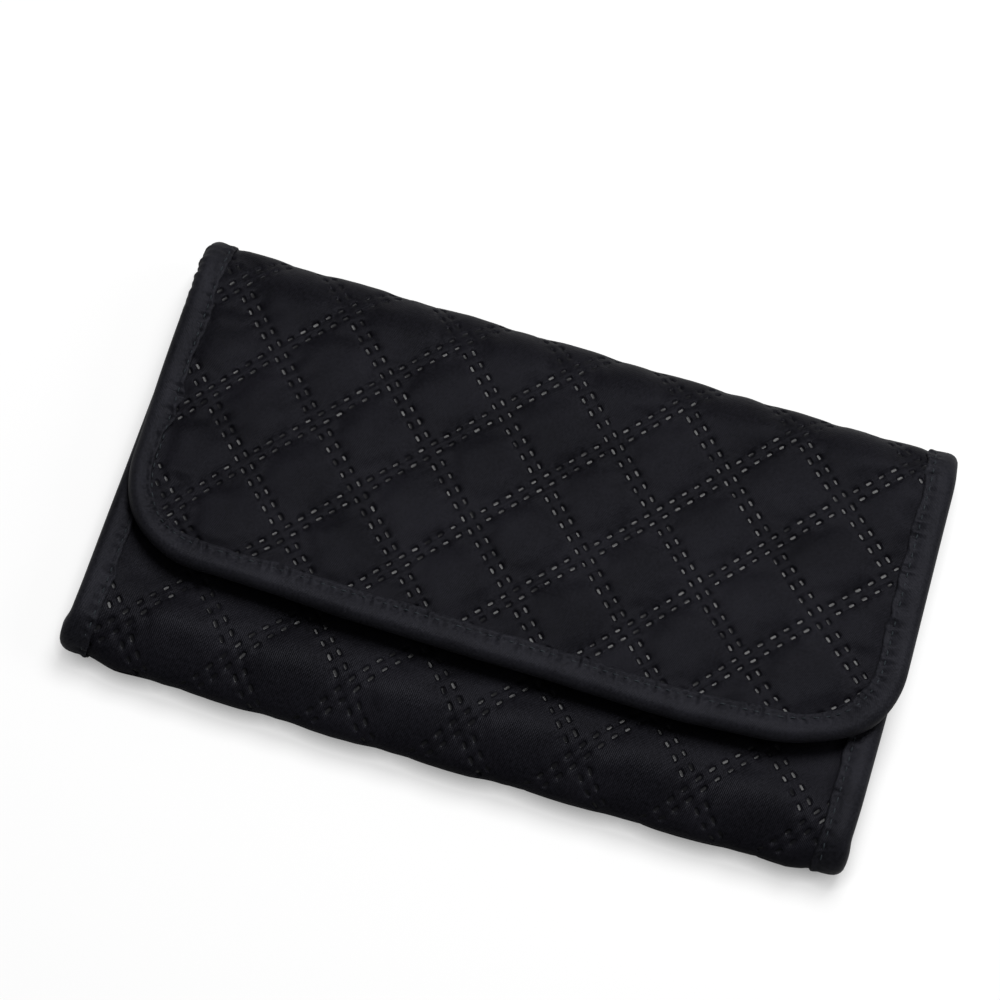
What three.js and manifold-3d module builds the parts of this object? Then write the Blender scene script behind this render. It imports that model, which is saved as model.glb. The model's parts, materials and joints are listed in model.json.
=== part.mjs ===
// A trifold jewelry roll, closed. Millimetres, +Z up, +X along the folds, near fold at -Y.
//
// Three padded sections are joined by two narrow spines: the back section lies on the table, the
// front section folds up from the near edge over the back, and the flap folds down from the far
// edge over the front. Each section and spine is built in its own coordinates: x across the roll,
// y along the section from its fold, and z inward from its outer face. A frame then places it.

import * as THREE from 'three';
import { mergeVertices } from 'three/addons/utils/BufferGeometryUtils.js';
import Module from 'manifold-3d';

const wasm = await Module();
wasm.setup();

// Overall size of the closed roll
const rollWidth = 230;
const rollDepth = 128;
const cavityHeight = 10.5;

// Cloth layers
const shellThickness = 2.6;
const liningThickness = 0.5;
const pieceGap = 0.3;

// Quilting: slanted double seams press diamonds into the padding, in rows of crossings
const seamPitch = 33.9;
const seamRow = 18;
const seamFromFold = 9.6;
const seamWidth = 13;
const seamDepth = 1.35;
const flapSeamAcross = 4.5;
const flapSeamDrift = -0.9;
const flapSeamSlope = -0.02;
const frontSeamAcross = -1.3;
const frontSeamDrift = 0.3;

// Free sections: the front ends short of the far spine, and the flap covers most of the front
const frontEndClearance = 5.8;
const frontCornerRadius = 5;
const flapLength = 101;
const flapCornerRadius = 32;

// Binding that wraps every cut edge
const bindingWidth = 9;
const bindingWall = 0.5;

// Hook and loop closure under the flap
const closureLength = 90;
const closureWidth = 20;
const closureThickness = 0.7;
const closureFromFlapEdge = 23;

// Zip pockets
const pocketSpacing = 6;
const pocketFoldMargin = 10;
const backZipFromFold = 60;
const frontZipFromFold = 26;
const windowThickness = 0.4;
const trimWidth = 4;

// Zips
const chainWidth = 3.6;
const chainThickness = 1.4;
const tapeWidth = 9.5;
const tapeThickness = 0.5;
const sliderLength = 9;
const sliderWidth = 7;
const sliderPlate = 0.5;
const sliderFlange = 0.9;
const sliderEndMargin = 6;
const wedgeLength = 2.2;
const wedgeWidth = 1.6;
const wedgeInset = 0.4;
const postRadius = 0.8;
const postCapRadius = 1.6;
const postCapThickness = 0.5;
const pullLength = 17;
const pullEyeRadius = 2.5;
const pullTipRadius = 2;
const pullThickness = 0.8;

// Ring bar, between two straps
const ringBarSideMargin = 13.4;
const ringBarWidth = 16;
const ringBarRounding = 3;
const ringBarFromFarFold = 20;
const ringBarClearance = 0.45;
const strapLength = 17;
const strapWidth = 14;
const strapThickness = 0.6;
const padLength = 12;
const padWidth = 12;

// Faceting: steps in a quarter turn of a cloth corner, and in a half turn of a small round piece
const cornerSteps = 10;
const roundSteps = 10;
const ringBarEndSteps = 3;

// Levels through a section, inward from its outer face
const rimRecess = bindingWall + pieceGap;
const liningLevel = shellThickness + pieceGap;
const sectionThickness = liningLevel + liningThickness;
const bindingThickness = sectionThickness + pieceGap + bindingWall;
const frontLength = rollDepth - bindingThickness - frontEndClearance;

// Heights of the closed roll
const frontHeight = 2 * sectionThickness + cavityHeight;
const closureHeight = 2 * closureThickness + 3 * pieceGap;
const flapHeight = frontHeight + closureHeight + sectionThickness;

// Levels through a zip, inward from the outer face of its section
const lowerPlateLevel = sectionThickness + pieceGap;
const chainLevel = lowerPlateLevel + sliderPlate + pieceGap;
const upperPlateLevel = chainLevel + chainThickness + pieceGap;
const tapeLevel = chainLevel + (chainThickness - tapeThickness) / 2;
const windowLevel = tapeLevel - pieceGap - windowThickness;
const pullLevel = upperPlateLevel + sliderPlate + pieceGap;
const postCapLevel = pullLevel + pullThickness + pieceGap;
const pocketHeight = tapeLevel + tapeThickness - sectionThickness;

// Each side of a mitred fold stands back by this much, so that the slanted faces keep their gap
const foldSetback = pieceGap * Math.SQRT1_2;

const halfWidth = rollWidth / 2;
const nearFold = -rollDepth / 2;
const farFold = rollDepth / 2;
const clearHalfWidth = halfWidth - bindingWidth - pieceGap;
const strapEnd = clearHalfWidth - ringBarSideMargin;
const strapStart = strapEnd - strapLength;
const ringBarLength = 2 * (strapStart - pieceGap);

// Seams as their first row of crossings: how far along, where across, how far the next row
// drifts across and how steeply a row climbs. The back is pressed flat, so it shows none.
const frontSeams = { first: seamFromFold, across: frontSeamAcross, drift: frontSeamDrift, slope: 0 };
const flapSeams = {
  first: seamFromFold,
  across: flapSeamAcross,
  drift: flapSeamDrift,
  slope: flapSeamSlope,
};

// The same seams two rows earlier, on the spine that leads to a section.
function seamsBefore(seams, spineLength) {
  return {
    ...seams,
    first: spineLength + seams.first - 2 * seamRow,
    across: seams.across - 2 * seams.drift,
  };
}

// A section's left is where its own x is negative, unless its frame turns it over sideways
const sections = {
  back: { length: rollDepth, folds: 2, leftSide: -1 },
  bottomSpine: {
    length: frontHeight,
    folds: 2,
    leftSide: 1,
    seams: seamsBefore(frontSeams, frontHeight),
  },
  front: { length: frontLength, folds: 1, cornerRadius: frontCornerRadius, seams: frontSeams },
  topSpine: {
    length: flapHeight,
    folds: 2,
    leftSide: -1,
    seams: seamsBefore(flapSeams, flapHeight),
  },
  flap: { length: flapLength, folds: 1, cornerRadius: flapCornerRadius, seams: flapSeams },
};

const finishes = {
  quilt: { color: 0x1b1b20, roughness: 0.85, metalness: 0 },
  lining: { color: 0x26262b, roughness: 0.8, metalness: 0 },
  binding: { color: 0x1f2126, roughness: 0.8, metalness: 0 },
  film: { color: 0xc9d2d6, roughness: 0.2, metalness: 0, transparent: true, opacity: 0.35 },
  tape: { color: 0x17171b, roughness: 0.85, metalness: 0 },
  chain: { color: 0x202024, roughness: 0.45, metalness: 0 },
  metal: { color: 0xb8babd, roughness: 0.3, metalness: 1 },
  velvet: { color: 0x2a2a2e, roughness: 0.95, metalness: 0 },
  hooks: { color: 0x141417, roughness: 0.6, metalness: 0 },
};

// Turn a closed three.js geometry into a solid that can be joined and cut.
function toSolid(geometry) {
  const bare = geometry.index ? geometry.toNonIndexed() : geometry.clone();
  bare.deleteAttribute('normal');
  bare.deleteAttribute('uv');
  const merged = mergeVertices(bare);
  return new wasm.Manifold(new wasm.Mesh({
    numProp: 3,
    vertProperties: new Float32Array(merged.attributes.position.array),
    triVerts: new Uint32Array(merged.index.array),
  }));
}

// Turn a solid back into a three.js geometry.
function toGeometry(solid) {
  const mesh = solid.getMesh();
  const geometry = new THREE.BufferGeometry();
  geometry.setAttribute('position', new THREE.BufferAttribute(mesh.vertProperties, 3));
  geometry.setIndex(new THREE.BufferAttribute(mesh.triVerts, 1));
  geometry.computeVertexNormals();
  return geometry;
}

function join(geometries) {
  const [first, ...rest] = geometries.map(toSolid);
  return toGeometry(rest.reduce((sum, solid) => sum.add(solid), first));
}

function cut(geometry, tool) {
  return toGeometry(toSolid(geometry).subtract(toSolid(tool)));
}

// A flat piece of cloth, film or plate: a shape extruded inward from a level.
function slab(shape, level, thickness) {
  const geometry = new THREE.ExtrudeGeometry(shape, {
    depth: thickness,
    bevelEnabled: false,
    curveSegments: cornerSteps,
  });
  geometry.translate(0, 0, level);
  return geometry;
}

function rectangle(left, right, start, end) {
  const shape = new THREE.Shape();
  shape.moveTo(left, start);
  shape.lineTo(right, start);
  shape.lineTo(right, end);
  shape.lineTo(left, end);
  shape.closePath();
  return shape;
}

function disc(radius, level, thickness) {
  const shape = new THREE.Shape();
  shape.absarc(0, 0, radius, 0, 2 * Math.PI);
  return new THREE.ExtrudeGeometry(shape, {
    depth: thickness,
    bevelEnabled: false,
    curveSegments: roundSteps,
  }).translate(0, 0, level);
}

// The outline of a section, drawn in from its bound edges by an inset.
function sectionOutline(section, inset) {
  const side = halfWidth - inset;
  const shape = new THREE.Shape();
  shape.moveTo(side, 0);
  if (section.folds === 2) {
    shape.lineTo(side, section.length);
    shape.lineTo(-side, section.length);
  } else {
    const end = section.length - inset;
    const radius = Math.max(section.cornerRadius - inset, 0);
    shape.lineTo(side, end - radius);
    if (radius > 0) {
      shape.absarc(side - radius, end - radius, radius, 0, Math.PI / 2);
    }
    shape.lineTo(radius - side, end);
    if (radius > 0) {
      shape.absarc(radius - side, end - radius, radius, Math.PI / 2, Math.PI);
    }
  }
  shape.lineTo(-side, 0);
  return shape;
}

// The strip of a free section between two insets, open at its fold.
function edgeStrip(section, outerInset, innerInset) {
  const outer = sectionOutline(section, outerInset).getPoints(cornerSteps);
  const inner = sectionOutline(section, innerInset).getPoints(cornerSteps).reverse();
  return new THREE.Shape([...outer, ...inner]);
}

// The strip along one side of a section that has a fold at both ends.
function sideStrip(section, side, outerInset, innerInset) {
  const outer = side * (halfWidth - outerInset);
  const inner = side * (halfWidth - innerInset);
  return rectangle(Math.min(outer, inner), Math.max(outer, inner), 0, section.length);
}

// Cut the fold ends at 45 degrees, so that two pieces meet across a closed fold with a gap.
function mitre(geometry, section) {
  const position = geometry.attributes.position;
  const reach = foldSetback / 2;
  for (let i = 0; i < position.count; i += 1) {
    const setback = position.getZ(i) + foldSetback;
    if (Math.abs(position.getY(i)) < reach) {
      position.setY(i, setback);
    } else if (section.folds === 2 && Math.abs(position.getY(i) - section.length) < reach) {
      position.setY(i, section.length - setback);
    }
  }
  geometry.computeVertexNormals();
  return geometry;
}

function piece(name, geometry, finish) {
  const mesh = new THREE.Mesh(geometry, new THREE.MeshStandardMaterial(finishes[finish]));
  mesh.name = name;
  return mesh;
}

// A groove in the outer face, with its slopes carried on a little way above it.
function seamGroove(start, end) {
  const rim = seamWidth / 2 * (1 + pieceGap / seamDepth);
  const shape = new THREE.Shape();
  shape.moveTo(-rim, -pieceGap);
  shape.lineTo(rim, -pieceGap);
  shape.lineTo(0, seamDepth);
  shape.closePath();

  const along = end.clone().sub(start);
  const depth = along.length();
  const inward = new THREE.Vector3(0, 0, 1);
  along.normalize();
  const across = inward.clone().cross(along);
  const place = new THREE.Matrix4().makeBasis(across, inward, along).setPosition(start);
  return new THREE.ExtrudeGeometry(shape, { depth, bevelEnabled: false }).applyMatrix4(place);
}

// Grooves along the seams of both slants, each long enough to cross the section.
function seamGrooves({ length, seams }) {
  const { first, across, drift, slope } = seams;
  const rows = Math.ceil((length + Math.abs(first)) / seamRow) + 1;
  const columns = Math.ceil(halfWidth / seamPitch + rows / 2) + 1;
  const grooves = [];
  for (let column = -columns; column <= columns; column += 1) {
    const shift = column * seamPitch;
    const crossing = new THREE.Vector3(across + shift, first + slope * shift, 0);
    for (const side of [-1, 1]) {
      const half = side * seamPitch / 2;
      const reach = new THREE.Vector3(half + drift, seamRow + slope * half, 0).multiplyScalar(rows);
      grooves.push(seamGroove(crossing.clone().sub(reach), crossing.clone().add(reach)));
    }
  }
  return grooves;
}

// The padded outer cloth: full thickness inside the binding, and a thinner rim under it.
function quiltedShell(section) {
  const rim = slab(sectionOutline(section, rimRecess), rimRecess, shellThickness - rimRecess);
  const middle = slab(sectionOutline(section, bindingWidth + pieceGap), 0, shellThickness);
  const cloth = mitre(join([rim, middle]), section);
  return section.seams ? cut(cloth, join(seamGrooves(section))) : cloth;
}

function liningCloth(section) {
  return mitre(slab(sectionOutline(section, rimRecess), liningLevel, liningThickness), section);
}

// A folded strip with an outer wall, an edge wall and an inner wall round the layers.
function bindingChannel(section, strip, slot) {
  const whole = slab(strip, 0, bindingThickness);
  const hollow = slab(slot, bindingWall, bindingThickness - 2 * bindingWall);
  return mitre(cut(whole, hollow), section);
}

function sideBinding(section, side) {
  const strip = sideStrip(section, side, 0, bindingWidth);
  const slot = sideStrip(section, side, bindingWall, bindingWidth + pieceGap);
  return bindingChannel(section, strip, slot);
}

function edgeBinding(section) {
  const strip = edgeStrip(section, 0, bindingWidth);
  const slot = edgeStrip(section, bindingWall, bindingWidth + pieceGap);
  return bindingChannel(section, strip, slot);
}

// The pieces that every section and spine has.
function clothLayers(name, section) {
  const layers = [
    piece(`${name}_quilted_shell`, quiltedShell(section), 'quilt'),
    piece(`${name}_lining`, liningCloth(section), 'lining'),
  ];
  if (section.folds === 2) {
    const { leftSide } = section;
    layers.push(piece(`${name}_binding_left`, sideBinding(section, leftSide), 'binding'));
    layers.push(piece(`${name}_binding_right`, sideBinding(section, -leftSide), 'binding'));
  } else {
    layers.push(piece(`${name}_binding`, edgeBinding(section), 'binding'));
  }
  return layers;
}

// The slider body round the chain, with the post that its pull turns on at x = 0, y = 0.
function zipSlider(toClosedEnd) {
  const along = sliderLength / 2;
  const across = sliderWidth / 2;
  const plate = rectangle(-along, along, -across, across);
  const flangeShapes = [-1, 1].map((side) => {
    const edges = [side * across, side * (across - sliderFlange)];
    return rectangle(-along, along, Math.min(...edges), Math.max(...edges));
  });
  const lowerTop = tapeLevel - pieceGap;
  const upperBottom = tapeLevel + tapeThickness + pieceGap;
  const upperTop = upperPlateLevel + sliderPlate;
  const wedgeFront = toClosedEnd * (along - wedgeInset);
  const wedgeBack = wedgeFront - toClosedEnd * wedgeLength;
  const wedge = rectangle(
    Math.min(wedgeFront, wedgeBack),
    Math.max(wedgeFront, wedgeBack),
    -wedgeWidth / 2,
    wedgeWidth / 2,
  );
  return join([
    slab(plate, lowerPlateLevel, sliderPlate),
    slab(plate, upperPlateLevel, sliderPlate),
    ...flangeShapes.map((shape) => slab(shape, lowerPlateLevel, lowerTop - lowerPlateLevel)),
    ...flangeShapes.map((shape) => slab(shape, upperBottom, upperTop - upperBottom)),
    slab(wedge, lowerPlateLevel, upperTop - lowerPlateLevel),
    disc(postRadius, upperPlateLevel, postCapLevel + postCapThickness - upperPlateLevel),
    disc(postCapRadius, postCapLevel, postCapThickness),
  ]);
}

// The pull: an eye round the post and a tongue that narrows to a round tip.
function zipPull(toClosedEnd) {
  const tip = -toClosedEnd * (pullLength - pullTipRadius);
  const shape = new THREE.Shape();
  const towardTip = toClosedEnd > 0 ? Math.PI : 0;
  shape.absarc(0, 0, pullEyeRadius, towardTip + Math.PI / 2, towardTip - Math.PI / 2 + 2 * Math.PI);
  shape.absarc(tip, 0, pullTipRadius, towardTip - Math.PI / 2, towardTip + Math.PI / 2);
  const eye = new THREE.Path();
  eye.absarc(0, 0, postRadius + pieceGap, 0, 2 * Math.PI, true);
  shape.holes.push(eye);
  return slab(shape, pullLevel, pullThickness);
}

// A zip pocket between two x values. The film goes from the zip toward filmEnd along y.
function zipPocket(name, { left, right, zipLine, filmEnd, toClosedEnd }) {
  const toFilm = Math.sign(filmEnd - zipLine);
  const span = (near, far) => [Math.min(near, far), Math.max(near, far)];
  const tapeInner = chainWidth / 2 + pieceGap;
  const tapeOuter = tapeInner + tapeWidth;
  const [tapeLeft, tapeRight] = [left + trimWidth + pieceGap, right - trimWidth - pieceGap];
  const filmStart = zipLine + toFilm * (sliderWidth / 2 + pieceGap);
  const trimStart = zipLine - toFilm * tapeOuter;

  const window = rectangle(left, right, ...span(filmStart, filmEnd));
  const trimOutside = rectangle(left, right, ...span(trimStart, filmEnd));
  const trimInside = rectangle(
    left + trimWidth,
    right - trimWidth,
    ...span(trimStart - toFilm * trimWidth, filmEnd - toFilm * trimWidth),
  );
  const trim = cut(
    slab(trimOutside, tapeLevel, tapeThickness),
    slab(trimInside, tapeLevel - pieceGap, tapeThickness + 2 * pieceGap),
  );

  const filmTape = rectangle(
    tapeLeft,
    tapeRight,
    ...span(zipLine + toFilm * tapeInner, zipLine + toFilm * tapeOuter),
  );
  const clothTape = rectangle(
    tapeLeft,
    tapeRight,
    ...span(zipLine - toFilm * tapeInner, zipLine - toFilm * tapeOuter),
  );

  const closedEnd = toClosedEnd > 0 ? tapeRight : tapeLeft;
  const openEnd = toClosedEnd > 0 ? tapeLeft : tapeRight;
  const sliderPlace = closedEnd - toClosedEnd * (sliderEndMargin + sliderLength / 2);
  const wedgeBack = sliderPlace + toClosedEnd * (sliderLength / 2 - wedgeInset - wedgeLength);
  const chain = rectangle(
    ...span(openEnd, wedgeBack - toClosedEnd * pieceGap),
    zipLine - chainWidth / 2,
    zipLine + chainWidth / 2,
  );

  const slider = piece(`${name}_zip_slider`, zipSlider(toClosedEnd), 'metal');
  const pull = piece(`${name}_zip_pull`, zipPull(toClosedEnd), 'metal');
  slider.position.set(sliderPlace, zipLine, 0);
  pull.position.set(sliderPlace, zipLine, 0);
  return [
    piece(`${name}_window`, slab(window, windowLevel, windowThickness), 'film'),
    piece(`${name}_trim`, trim, 'binding'),
    piece(`${name}_zip_film_tape`, slab(filmTape, tapeLevel, tapeThickness), 'tape'),
    piece(`${name}_zip_cloth_tape`, slab(clothTape, tapeLevel, tapeThickness), 'tape'),
    piece(`${name}_zip_chain`, slab(chain, chainLevel, chainThickness), 'chain'),
    slider,
    pull,
  ];
}

// The stuffed bar: a round bar along x with rounded ends, flattened to its thickness.
function stuffedBar(length, width, thickness, rounding) {
  const end = length / 2;
  const radius = width / 2;
  const profile = new THREE.Path();
  profile.moveTo(0, -end);
  profile.lineTo(radius - rounding, -end);
  profile.absarc(radius - rounding, rounding - end, rounding, -Math.PI / 2, 0);
  profile.lineTo(radius, end - rounding);
  profile.absarc(radius - rounding, end - rounding, rounding, 0, Math.PI / 2);
  profile.lineTo(0, end);
  const bar = new THREE.LatheGeometry(profile.getPoints(ringBarEndSteps), 2 * roundSteps);
  bar.rotateZ(Math.PI / 2);
  bar.scale(1, 1, thickness / width);
  return bar;
}

// The ring bar with its sewn tongue at the left, its tab at the right and their pads.
function ringBarPieces() {
  const line = rollDepth - ringBarFromFarFold;
  const thickness = cavityHeight - pocketHeight - pieceGap - ringBarClearance;
  const padLevel = sectionThickness + pieceGap;
  const hookLevel = padLevel + closureThickness + pieceGap;
  const strapLevel = hookLevel + closureThickness + pieceGap;
  const padStart = strapEnd - padLength;
  const acrossPad = [line - padWidth / 2, line + padWidth / 2];
  const acrossStrap = [line - strapWidth / 2, line + strapWidth / 2];
  const patchDepth = strapLevel - pieceGap - padLevel;

  const bar = stuffedBar(ringBarLength, ringBarWidth, thickness, ringBarRounding);
  bar.translate(0, line, padLevel + thickness / 2);
  const tongue = slab(rectangle(-strapEnd, -strapStart, ...acrossStrap), strapLevel, strapThickness);
  const tab = slab(rectangle(strapStart, strapEnd, ...acrossStrap), strapLevel, strapThickness);
  const patch = slab(rectangle(-strapEnd, -padStart, ...acrossPad), padLevel, patchDepth);
  const loopPad = slab(rectangle(padStart, strapEnd, ...acrossPad), padLevel, closureThickness);
  const hookPad = slab(rectangle(padStart, strapEnd, ...acrossPad), hookLevel, closureThickness);
  return [
    piece('ring_bar', bar, 'velvet'),
    piece('ring_bar_tongue', tongue, 'lining'),
    piece('ring_bar_tab', tab, 'lining'),
    piece('ring_bar_anchor_patch', patch, 'lining'),
    piece('ring_bar_loop_pad', loopPad, 'velvet'),
    piece('ring_bar_hook_pad', hookPad, 'hooks'),
  ];
}

// A closure strip, centred across the roll, at a distance along its section.
function closureStrip(line, level) {
  const half = closureWidth / 2;
  const shape = rectangle(-closureLength / 2, closureLength / 2, line - half, line + half);
  return slab(shape, level, closureThickness);
}

// A group placed by where its x, along and inward directions point in the closed roll.
function sectionFrame(meshes, foldY, foldZ, across, along, inward) {
  const frame = new THREE.Group();
  frame.position.set(0, foldY, foldZ);
  frame.quaternion.setFromRotationMatrix(new THREE.Matrix4().makeBasis(across, along, inward));
  frame.add(...meshes);
  return frame;
}

const right = new THREE.Vector3(1, 0, 0);
const left = new THREE.Vector3(-1, 0, 0);
const far = new THREE.Vector3(0, 1, 0);
const near = new THREE.Vector3(0, -1, 0);
const up = new THREE.Vector3(0, 0, 1);
const down = new THREE.Vector3(0, 0, -1);

const closureOnFlap = flapLength - closureFromFlapEdge;
const closureOnFront = rollDepth - closureOnFlap;

const backSection = sectionFrame([
  ...clothLayers('back', sections.back),
  ...zipPocket('back_pocket', {
    left: -clearHalfWidth,
    right: clearHalfWidth,
    zipLine: backZipFromFold,
    filmEnd: pocketFoldMargin,
    toClosedEnd: -1,
  }),
  ...ringBarPieces(),
], nearFold, 0, right, far, up);

const bottomSpine = sectionFrame(
  clothLayers('bottom_spine', sections.bottomSpine),
  nearFold, 0, left, up, far,
);

const frontFilmEnd = frontLength - bindingWidth - pieceGap;
const frontSection = sectionFrame([
  ...clothLayers('front', sections.front),
  ...zipPocket('front_left_pocket', {
    left: pocketSpacing / 2,
    right: clearHalfWidth,
    zipLine: frontZipFromFold,
    filmEnd: frontFilmEnd,
    toClosedEnd: 1,
  }),
  ...zipPocket('front_right_pocket', {
    left: -clearHalfWidth,
    right: -pocketSpacing / 2,
    zipLine: frontZipFromFold,
    filmEnd: frontFilmEnd,
    toClosedEnd: -1,
  }),
  piece('front_loop_strip', closureStrip(closureOnFront, -pieceGap - closureThickness), 'velvet'),
], nearFold, frontHeight, left, far, down);

const topSpine = sectionFrame(
  clothLayers('top_spine', sections.topSpine),
  farFold, 0, right, up, near,
);

const flap = sectionFrame([
  ...clothLayers('flap', sections.flap),
  piece('flap_hook_strip', closureStrip(closureOnFlap, sectionThickness + pieceGap), 'hooks'),
], farFold, flapHeight, right, near, down);

const jewelryRoll = new THREE.Group();
jewelryRoll.add(backSection, bottomSpine, frontSection, topSpine, flap);

export default jewelryRoll;
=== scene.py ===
"""Quilted jewelry roll, closed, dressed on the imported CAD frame.

The roll is one length of ready-quilted cloth, bound all round and folded in four: front panel,
bottom spine, back, top spine and flap. Its cloth pieces are laid out flat, in millimetres, as
(x, s, w): x across the roll, s along the cloth from the front panel's free edge to the flap's,
and w inwards from the outer face. RollShape then folds that layout into the closed roll.
"""
import json
import logging
import math
from dataclasses import dataclass, field, replace
from enum import Enum
from typing import Callable, Iterable, Iterator

import bpy
import numpy as np
from mathutils import Matrix, Vector, noise
from mathutils.geometry import delaunay_2d_cdt

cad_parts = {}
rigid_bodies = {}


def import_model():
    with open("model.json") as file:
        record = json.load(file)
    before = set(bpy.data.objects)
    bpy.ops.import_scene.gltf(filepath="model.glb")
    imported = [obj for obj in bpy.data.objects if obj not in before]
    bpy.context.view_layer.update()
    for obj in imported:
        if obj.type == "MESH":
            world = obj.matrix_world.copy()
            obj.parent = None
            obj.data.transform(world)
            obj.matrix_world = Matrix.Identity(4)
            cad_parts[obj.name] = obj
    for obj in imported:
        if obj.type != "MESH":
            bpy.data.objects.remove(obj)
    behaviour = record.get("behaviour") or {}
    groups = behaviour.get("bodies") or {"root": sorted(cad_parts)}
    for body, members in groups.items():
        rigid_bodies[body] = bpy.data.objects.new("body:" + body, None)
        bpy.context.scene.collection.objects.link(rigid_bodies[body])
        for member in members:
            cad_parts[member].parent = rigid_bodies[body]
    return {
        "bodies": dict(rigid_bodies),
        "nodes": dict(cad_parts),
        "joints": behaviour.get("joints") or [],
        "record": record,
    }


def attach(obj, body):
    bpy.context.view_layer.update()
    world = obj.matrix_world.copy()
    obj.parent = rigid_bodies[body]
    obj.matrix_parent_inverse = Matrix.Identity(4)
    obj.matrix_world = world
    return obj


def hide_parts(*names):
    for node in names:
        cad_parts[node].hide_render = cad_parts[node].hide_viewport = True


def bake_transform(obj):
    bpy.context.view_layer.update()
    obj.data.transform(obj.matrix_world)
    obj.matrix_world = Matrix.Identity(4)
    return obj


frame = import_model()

Array = np.ndarray
Place = float | Array
Point = tuple[float, float, float]
Face = tuple[int, ...]
Piece = bpy.types.Object
Socket = bpy.types.NodeSocket
Placer = Callable[[Array, Array, Array], Array]
MM = 0.001
TINY = 1e-6
AT_ONCE = 64
MIRROR = (-1, 1, -1, 1)
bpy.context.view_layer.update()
log = logging.getLogger("jewelry_roll")


class Body(Enum):
    """The CAD bodies that the pieces ride on."""

    BACK = "back"
    BOTTOM_SPINE = "bottom_spine"
    FRONT = "front"
    TOP_SPINE = "top_spine"
    FLAP = "flap"
    RING_BAR = "ring_bar"
    BACK_SLIDER = "back_slider"
    BACK_PULL = "back_pull"
    FRONT_LEFT_SLIDER = "front_left_slider"
    FRONT_LEFT_PULL = "front_left_pull"
    FRONT_RIGHT_SLIDER = "front_right_slider"
    FRONT_RIGHT_PULL = "front_right_pull"


def smoothstep(low: float, high: float, value: Place) -> Array:
    """Soft step, from 0 where a value is at low to 1 where it is at high."""
    t = np.clip((np.asarray(value, float) - low) / (high - low), 0.0, 1.0)
    return t * t * (3 - 2 * t)


def bump(value: Array, middle: float, width: float, power: int = 2) -> Array:
    """Soft bump, 1 at its middle and nearly 0 from two widths away."""
    return np.exp(-(((value - middle) / width) ** power))


def table(value: Place, *rows: tuple[float, float]) -> Array:
    """Reads rows of place and height, straight between one row and the next."""
    places, heights = zip(*rows)
    return np.interp(value, places, heights)


def lengths_along(line: Array) -> Array:
    """Distance along a line of flat points, at each of them."""
    return np.concatenate([[0.0], np.cumsum(np.hypot(*np.diff(line, axis=0).T))])


def edge_run(x: Place, s: Place, in_x: Place, in_s: Place) -> Array:
    """Rows of a place on the flat cloth and the sideways direction there."""
    return np.column_stack(np.broadcast_arrays(x, s, in_x, in_s))


def crumple(x: Array, s: Array, size: float, seed: float) -> Array:
    """Smooth fixed noise over the flat cloth.

    Args:
        x: Places across the roll, in millimetres.
        s: Places along the cloth, in millimetres.
        size: Width of one wrinkle, in millimetres.
        seed: Picks one of many patterns.

    Returns:
        Values from about -1 to 1.
    """
    return np.array([noise.noise(Vector((a / size, b / size, seed))) for a, b in zip(x, s)])


def ripples(along: Array, size: float, seed: float, pattern: float) -> Array:
    """Smooth fixed noise along a run, as a column of values from about -1 to 1."""
    return np.array([noise.noise(Vector((a / size, seed, pattern))) for a in along])[:, None]


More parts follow.
